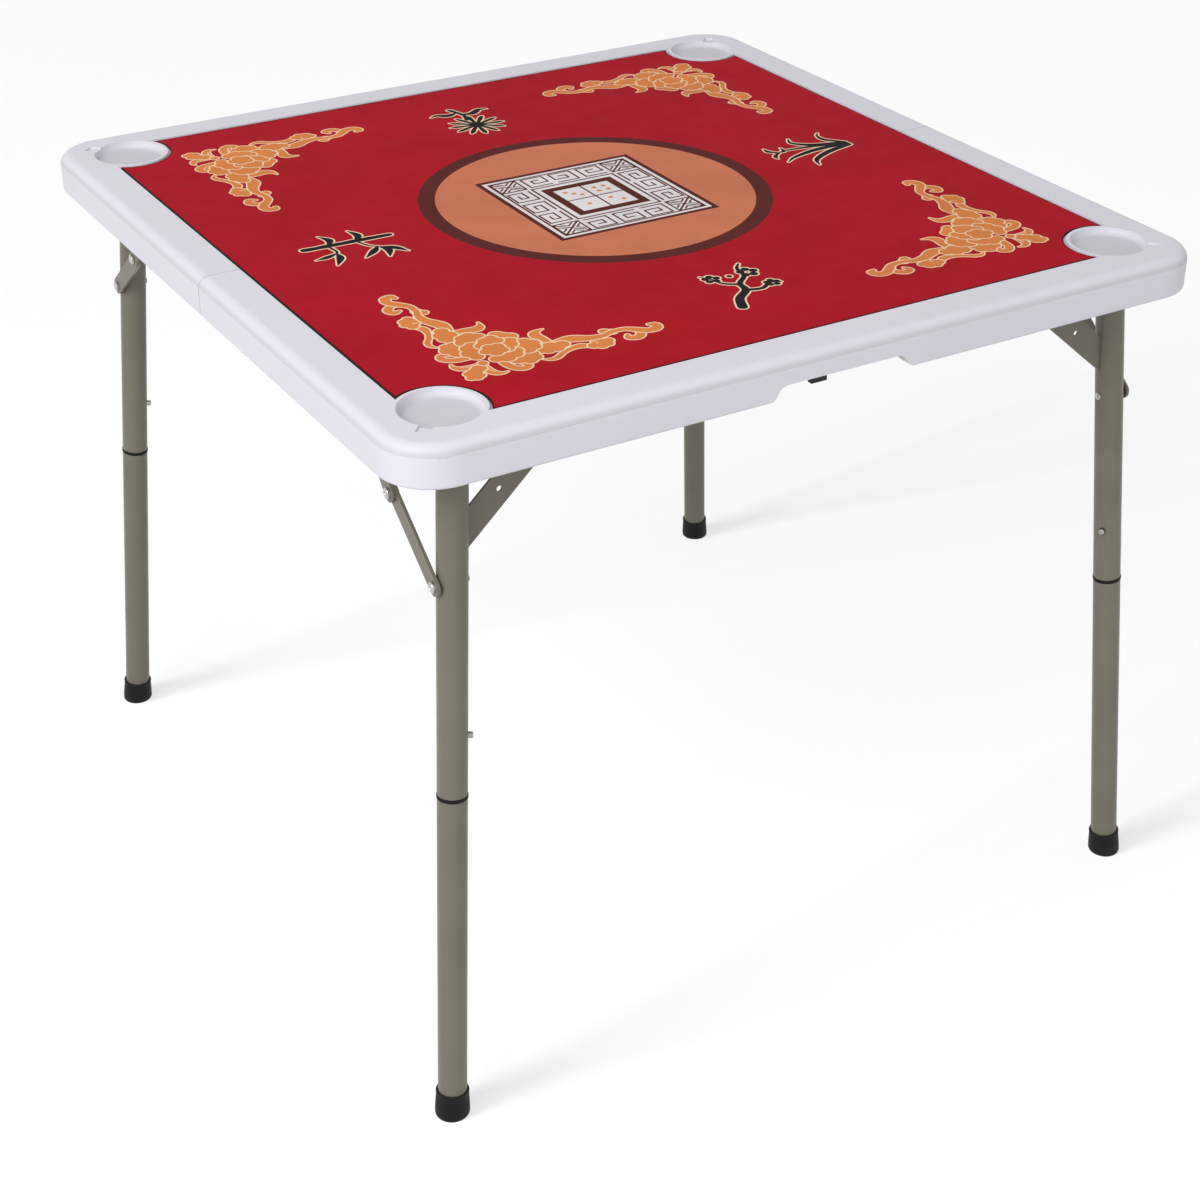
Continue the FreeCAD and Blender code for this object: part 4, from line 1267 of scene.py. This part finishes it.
@dataclass
class Fasteners:
    """Rivets with clinched ends, and cross-recessed screws under the deck, in millimetres.

    Profiles of the caps and screws are shares of the radius and height. The profile of the shanks runs
    from the outer face to the hollow inner end, as radius and distance from that end.
    """

    cap_radius: float = 4.9
    cap_height: float = 1.1
    cap_sink: float = 0.05
    cap_profile: Profile = (
        (0, 0.1), (0.27, 0.08), (0.36, 0.5), (0.46, 0.94), (0.62, 1), (0.8, 0.86), (0.94, 0.5), (1, 0.1),
        (0.98, 0), (0, 0))
    shank_profile: Profile = (
        (0, 36.58), (5.3, 36.58), (5.5, 36.4), (5.5, 34.58), (3, 34.58), (3, 0.9), (3.5, 0.7), (3.4, 0.2),
        (2.9, 0), (2.3, 0.15), (1.8, 0.7), (1.6, 1.8), (0, 2))
    screw_profile: Profile = (
        (0, 1), (0.3, 0.98), (0.58, 0.9), (0.8, 0.72), (0.94, 0.42), (1, 0.12), (1, 0), (0, 0))
    screw_turn: float = 0.7
    recess_length: float = 3.6
    recess_width: float = 0.75
    recess_depth: float = 0.75
    around: int = 24

    def turned_tree(self, name: str, profile: Profile) -> ShapeTree:
        """Tree of a plain turned shape with a radius and a height.

        Args:
            name: Name of the tree.
            profile: Shares of the radius and the height.

        Returns:
            The tree.
        """
        tree = ShapeTree(name)
        tree.set_out(tree.turned(profile, tree.entry("Radius"), tree.entry("Height"), self.around))
        return tree

    def screw_tree(self) -> ShapeTree:
        """Tree of a domed screw head with a cross cut in it.

        Returns:
            The tree.
        """
        tree = ShapeTree("cross_screw")
        height = tree.entry("Height")
        head = tree.turned(self.screw_profile, tree.entry("Radius"), height, self.around)
        long, wide, deep = (tree.entry(f"Recess {word}") for word in ("Length", "Width", "Depth"))
        rise = tree.add("ShaderNodeCombineXYZ", {2: height}).outputs[0]
        cutter = tree.add("GeometryNodeMeshBoolean", {"Mesh 1": head}, operation="DIFFERENCE")
        for size in ((long, wide), (wide, long)):
            values = {0: size[0], 1: size[1], 2: tree.maths("MULTIPLY", deep, 2.0)}
            sides = tree.add("ShaderNodeCombineXYZ", values).outputs[0]
            cube = tree.add("GeometryNodeMeshCube", {"Size": sides}).outputs["Mesh"]
            bar = tree.add("GeometryNodeTransform", {"Geometry": cube, "Translation": rise})
            tree.tree.links.new(bar.outputs[0], cutter.inputs["Mesh 2"])
        tree.set_out(cutter.outputs["Mesh"])
        return tree

    def rivet_ends(self, node: str, pick: Callable[[float, float], float], sink: float = 0.0) -> list[Spot]:
        """Places at one end of each rivet of a node, turned outwards.

        Args:
            node: Name of the node.
            pick: Picks the outer end by max, or the inner one by min.
            sink: Distance from that end towards the table's middle.

        Returns:
            Place and turn for each rivet.
        """
        spots = []
        for low, high in islands(node):
            middle = (low + high) / 2
            side = math.copysign(1, middle.x)
            face = pick(abs(low.x), abs(high.x)) - sink * MM
            spots.append((Vector((side * face, middle.y, middle.z)), (0, side * math.pi / 2, 0)))
        return spots

    def caps(self) -> None:
        """Puts a clinched end on the outer face of each rivet."""
        tree = self.turned_tree("clinched_rivet", self.cap_profile)
        values = {"Radius": self.cap_radius * MM, "Height": self.cap_height * MM, "Finish": ZINC.material()}
        for end in End:
            plan = {
                f"{end.word}_leg_rivets": f"{end.word}_leg_frame",
                f"{end.word}_anchor_rivets": f"{end.word}_half",
            }
            plan |= {f"{end.word}_{s.word}_knee_rivet": f"{end.word}_{s.word}_brace_high" for s in Side}
            for node, body in plan.items():
                spots = self.rivet_ends(node, max, self.cap_sink)
                fit(tree.make(f"{node}_clinch", spots, values), body)

    def shanks(self) -> None:
        """Makes the rivets through the legs in the places of their plain solids."""
        radius = max(r for r, _ in self.shank_profile)
        length = max(h for _, h in self.shank_profile)
        shares = [(r / radius, h / length) for r, h in self.shank_profile]
        tree = self.turned_tree("hollow_rivet", shares)
        values = {"Radius": radius * MM, "Height": length * MM, "Finish": ZINC.material()}
        for end in End:
            node = f"{end.word}_leg_rivets"
            made = tree.make(f"{end.word}_hollow_rivets", self.rivet_ends(node, min), values)
            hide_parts(node)
            fit(made, f"{end.word}_leg_frame")

    def screws(self) -> None:
        """Makes the screws in the places of their plain solids, each turned a little further."""
        tree = self.screw_tree()
        for end in End:
            node = f"{end.word}_screws"
            boxes = islands(node)
            size = boxes[0][1] - boxes[0][0]
            spots = []
            for n, (low, high) in enumerate(boxes):
                place = Vector(((low.x + high.x) / 2, (low.y + high.y) / 2, high.z))
                spots.append((place, (math.pi, 0, self.screw_turn * n)))
            values = {"Radius": size.x / 2, "Height": size.z, "Recess Length": self.recess_length * MM,
                      "Recess Width": self.recess_width * MM, "Recess Depth": self.recess_depth * MM,
                      "Finish": ZINC.material()}
            made = tree.make(f"{end.word}_cross_screws", spots, values)
            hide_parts(node)
            fit(made, f"{end.word}_half")

    def dress(self) -> None:
        """Makes all the fasteners."""
        self.caps()
        self.shanks()
        self.screws()


def tube(name: str, rings: Sequence[np.ndarray], material: bpy.types.Material) -> bpy.types.Object:
    """Skins a row of rings and closes its two ends.

    Args:
        name: Name of the object.
        rings: Corners of each ring, all with the same number.
        material: Its finish.

    Returns:
        The closed object.
    """
    count = len(rings[0])
    points = np.vstack([*rings, rings[0].mean(0), rings[-1].mean(0)])
    first = len(points) - 2
    last = len(points) - 1
    tail = (len(rings) - 1) * count
    sides = [(k, (k + 1) % count) for k in range(count)]
    faces = []
    for low in range(0, tail, count):
        high = low + count
        faces += [(low + a, low + b, high + b, high + a) for a, b in sides]
    faces += [(first, b, a) for a, b in sides]
    faces += [(last, tail + a, tail + b) for a, b in sides]
    return mesh_object(name, points, faces, [material])


@dataclass
class Feet:
    """Rubber feet, turned about the legs and cut level on the floor.

    The profile runs from the rim of the sole up to the lip and down inside to the end of the tube, in
    millimetres along the leg and out from it.
    """

    profile: Profile = (
        (0, 14.6), (0.35, 15.9), (1.2, 16.7), (2.6, 17.15), (4.5, 17.25), (12, 16.95), (20, 16.45),
        (25.2, 16.1), (26.2, 16.35), (27.3, 16.45), (28.2, 16.1), (28.6, 15.4), (28.4, 14.7), (27.6, 14.45),
        (12, 14.45), (6, 14.45))
    level: float = 12.0
    sole_band: float = 0.1
    around: int = 48
    sharp: float = 40.0

    def build(self, corner: str, axis: Vector) -> bpy.types.Object:
        """Turns one foot.

        Args:
            corner: Words for the corner.
            axis: Direction of the leg, upwards.

        Returns:
            The foot.
        """
        sole = np.array([v.co for v in frame["nodes"][f"{corner}_foot"].data.vertices])
        sole = sole[sole[:, 2] < self.sole_band * MM]
        middle = (sole.min(0) + sole.max(0)) / 2
        up = np.array(axis.normalized())
        u = np.cross(up, (0, 1, 0))
        u /= np.linalg.norm(u)
        v = np.cross(up, u)
        turn = np.linspace(0, 2 * np.pi, self.around, endpoint=False)
        round_way = np.outer(np.cos(turn), u) + np.outer(np.sin(turn), v)
        rings = []
        for rise, radius in self.profile:
            ring = middle + up * rise * MM + round_way * radius * MM
            share = max(0.0, 1 - rise / self.level)
            slip = (middle[2] + rise * MM * up[2] - ring[:, 2]) / up[2] * share
            rings.append(ring + np.outer(slip, up))
        return tidy(tube(f"{corner}_rubber_foot", rings, RUBBER.material()), self.sharp)

    def dress(self) -> None:
        """Makes the four feet in the places of their plain solids."""
        pulls = {j["child"]: Vector(j["axis"]) for j in frame["joints"] if j["type"] == "slide"}
        for end in End:
            for side in Side:
                corner = f"{end.word}_{side.word}"
                foot = self.build(corner, pulls[f"{corner}_lower_leg"])
                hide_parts(f"{corner}_foot")
                fit(foot, f"{corner}_lower_leg")


@dataclass
class CarryHandle:
    """Moulded loop that folds away behind the front apron, in millimetres from its pivot."""

    arm: float = 49.95
    arm_start: float = 6.0
    reach: float = 78.0
    bend: float = 15.0
    bend_start: float = 10.0
    tilt: float = 18.5
    arm_half: tuple[float, float] = (3.85, 4.4)
    grip_half: tuple[float, float] = (6.6, 6.6)
    grip_gap: float = 1.0
    boss: float = 5.9
    boss_shares: tuple[float, ...] = (-0.99, -0.9, -0.7, -0.4, 0.0, 0.4, 0.64)
    swell: float = 0.35
    ridges: int = 5
    square: float = 3.0
    around: int = 28
    arm_steps: int = 9
    grip_steps: int = 24
    sharp: float = 50.0

    def route(self) -> list[tuple[float, ...]]:
        """Follows the left half of the loop from its boss to the middle of the grip.

        Returns:
            Rows of place across and out, heading across and out, and the two half sizes.
        """
        rows = []
        for share in self.boss_shares:
            thick = self.boss * math.sqrt(1 - share**2)
            rows.append((-self.arm, share * self.boss, 0.0, 1.0, self.arm_half[0], thick))
        for d in np.linspace(self.arm_start, self.reach - self.bend, self.arm_steps):
            rows.append((-self.arm, d, 0.0, 1.0, *self.arm_half))
        for angle in np.radians(np.linspace(self.bend_start, 90, self.arm_steps)):
            share = angle / (math.pi / 2)
            x = -self.arm + self.bend * (1 - math.cos(angle))
            d = self.reach - self.bend + self.bend * math.sin(angle)
            halves = [a + (b - a) * share for a, b in zip(self.arm_half, self.grip_half)]
            rows.append((x, d, math.sin(angle), math.cos(angle), *halves))
        for x in np.linspace(-self.arm + self.bend + self.grip_gap, 0, self.grip_steps):
            phase = 2 * math.pi * self.ridges * x / (2 * (self.arm - self.bend))
            wave = self.swell * (0.5 - 0.5 * math.cos(phase))
            rows.append((x, self.reach, 1.0, 0.0, *[h - self.swell + wave for h in self.grip_half]))
        return rows

    def dress(self) -> None:
        """Sweeps the loop and puts it in the place of its plain solid."""
        half = self.route()
        rows = half + [(-x, d, hx, -hd, a, b) for x, d, hx, hd, a, b in half[-2::-1]]
        swing = next(j for j in frame["joints"] if j["name"] == "handle_swing")
        pivot = np.array(swing["pos_m"])
        lean = math.radians(self.tilt)
        out = np.array((0, math.cos(lean), -math.sin(lean)))
        face = np.array((0, math.sin(lean), math.cos(lean)))
        side = np.array((1.0, 0, 0))
        turn = np.linspace(0, 2 * np.pi, self.around, endpoint=False)
        c, s = np.cos(turn), np.sin(turn)
        u = np.sign(c) * np.abs(c) ** (2 / self.square)
        v = np.sign(s) * np.abs(s) ** (2 / self.square)
        rings = []
        for x, d, hx, hd, a, b in rows:
            across = side * hd - out * hx
            ring = np.outer(u * a, across) + np.outer(v * b, face)
            rings.append(pivot + (side * x + out * d) * MM + ring * MM)
        loop = tidy(tube("moulded_handle", rings, GRIP.material()), self.sharp)
        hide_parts("handle_loop")
        fit(loop, "handle")


@dataclass
class Frame:
    """Finishes of the carried-over pieces of the frame, by the ends of their names."""

    finishes: tuple[tuple[tuple[str, ...], Finish], ...] = (
        (("_top",), SHELL),
        (("_upper_leg", "_lower_tube", "_link", "_gussets", "_crossbar"), COAT),
        (("_brace_anchors", "_pivot_brackets"), COAT),
        (("_collar", "_foot"), RUBBER),
        # The snap buttons get the darker zinc, a painted dark reflection.
        (("_snap_button",), ZINC_PAINTED_REFLECTION),
        (("_sleeve", "_rivet", "_rivets", "_screws", "_leaves", "hinge_pins", "handle_pins"), ZINC),
        (("handle_loop", "handle_base"), GRIP),
        (("playing_mat",), BACKING),
    )

    def dress(self) -> None:
        """Gives each node the finish that its name calls for."""
        for name, node in frame["nodes"].items():
            finish = next(f for words, f in self.finishes if name.endswith(words))
            node.data.materials.clear()
            node.data.materials.append(finish.material())


def seen_directly(net: NodeNet) -> bpy.types.NodeSocket:
    """1 for what the camera sees straight, in a polished face or through glass, and 0 for other light.

    Args:
        net: The tree that asks.

    Returns:
        The socket that gives the value.
    """
    path = net.add("ShaderNodeLightPath").outputs
    seen = net.maths("ADD", path["Is Camera Ray"], path["Is Glossy Ray"])
    return net.maths("ADD", seen, path["Is Transmission Ray"])


@dataclass(frozen=True)
class Lamp:
    """Square soft light that faces the table."""

    name: str
    place: tuple[float, float, float]
    power: float
    colour: Colour = (1.0, 1.0, 1.0)
    size: float = 2.4

    def hang(self, aim: Vector) -> None:
        """Hangs the lamp and turns it to a point.

        Args:
            aim: What the lamp faces.
        """
        lamp = bpy.data.lights.new(self.name, "AREA")
        lamp.size = self.size
        lamp.energy = self.power
        lamp.color = self.colour
        made = bpy.data.objects.new(self.name, lamp)
        made.location = self.place
        made.rotation_euler = (aim - Vector(self.place)).to_track_quat("-Z", "Y").to_euler()
        bpy.context.scene.collection.objects.link(made)


@dataclass
class Studio:
    """Floor, light and camera."""

    eye: tuple[float, float, float] = (-1.1229, -1.9063, 1.5425)
    yaw: float = 30.62
    pitch: float = 30.57
    lens: float = 67.11
    sensor: float = 36.0
    sight: float = 100.0
    aim: tuple[float, float, float] = (0.0, 0.0, 0.5)
    lamps: tuple[Lamp, ...] = (
        Lamp("key", (-3.4, -1.3, 3.1), 104.0),
        Lamp("fill", (-0.4, -4.5, 1.5), 31.0, (0.94, 0.97, 1.0)),
    )
    room: float = 0.53
    room_colour: Colour = (0.98, 0.985, 1.0)
    paper: float = 0.97
    floor_reach: float = 30.0
    floor_gap: float = 0.0003
    floor_glow: float = 0.715
    floor_bounce: float = 0.26
    floor_patch: float = 1.5
    floor_tones: tuple[Colour, Colour] = ((102, 102, 103), (104, 104, 104))
    rake: float = 3.4
    rake_rise: float = 12.0
    rake_spread: float = 4.0
    rake_swings: tuple[float, ...] = (-8.0, -4.0, 0.0, 4.0, 8.0)

    def floor(self) -> bpy.types.Object:
        """Lays the pale floor, which the camera sees nearly white under the shadow.

        Returns:
            The floor.
        """
        reach = self.floor_reach
        shader = ShaderTree("studio_floor")
        shader.tree.nodes.remove(shader.skin)
        cloud = shader.tones(shader.noise(self.floor_patch), *self.floor_tones)
        plain = shader.add("ShaderNodeBsdfDiffuse", {"Color": (*[self.floor_bounce] * 3, 1)})
        cast = shader.add("ShaderNodeBsdfDiffuse", {"Color": cloud})
        glow = shader.add("ShaderNodeEmission", {"Strength": self.floor_glow})
        both = shader.add("ShaderNodeAddShader", {0: cast.outputs[0], 1: glow.outputs[0]})
        values = {0: seen_directly(shader), 1: plain.outputs[0], 2: both.outputs[0]}
        mixed = shader.add("ShaderNodeMixShader", values)
        shader.tree.links.new(mixed.outputs[0], shader.out.inputs["Surface"])
        corners = [(x * reach, y * reach, -self.floor_gap) for x, y in ((-1, -1), (1, -1), (1, 1), (-1, 1))]
        laid = mesh_object("studio_floor", corners, [(0, 1, 2, 3)], [shader.material])
        return laid

    def rakes(self, floor: bpy.types.Object) -> None:
        """Sets a low fan of lamps at the left that reach the floor alone, for the legs' long shadows.

        Args:
            floor: What the lamps light.
        """
        lit = bpy.data.collections.new("raked_floor")
        lit.objects.link(floor)
        for swing in self.rake_swings:
            lamp = bpy.data.lights.new("rake", "SUN")
            lamp.energy = self.rake
            lamp.angle = math.radians(self.rake_spread)
            made = bpy.data.objects.new("rake", lamp)
            made.rotation_euler = (0, -math.radians(90 - self.rake_rise), math.radians(swing))
            made.light_linking.receiver_collection = lit
            bpy.context.scene.collection.objects.link(made)

    def lights(self) -> None:
        """Lights the room evenly and hangs the soft lamps."""
        world = bpy.data.worlds.new("studio")
        bpy.context.scene.world = world
        world.use_nodes = True
        net = NodeNet()
        net.tree = world.node_tree
        net.tree.nodes.clear()
        lit = net.add("ShaderNodeBackground", {"Color": (*self.room_colour, 1), "Strength": self.room})
        shown = net.add("ShaderNodeBackground", {"Color": (1, 1, 1, 1), "Strength": self.paper})
        values = {0: seen_directly(net), 1: lit.outputs[0], 2: shown.outputs[0]}
        mixed = net.add("ShaderNodeMixShader", values)
        net.add("ShaderNodeOutputWorld", {"Surface": mixed.outputs[0]})
        for lamp in self.lamps:
            lamp.hang(Vector(self.aim))

    def camera(self) -> None:
        """Sets the camera at the photograph's place."""
        eye = bpy.data.cameras.new("eye")
        eye.lens = self.lens
        eye.sensor_width = self.sensor
        eye.clip_end = self.sight
        made = bpy.data.objects.new("eye", eye)
        made.location = self.eye
        made.rotation_euler = (math.radians(90 - self.pitch), 0, -math.radians(self.yaw))
        bpy.context.scene.collection.objects.link(made)
        bpy.context.scene.camera = made

    def set_up(self) -> None:
        """Builds the whole studio."""
        self.rakes(self.floor())
        self.lights()
        self.camera()
        bpy.context.scene.view_settings.view_transform = "Standard"


def main() -> None:
    """Builds the pieces in order."""
    logging.basicConfig(level=logging.INFO)
    Studio().set_up()
    Frame().dress()
    for part in (PlayingMat(), Feet(), Fasteners(), CarryHandle()):
        part.dress()


if __name__ == "__main__":
    main()
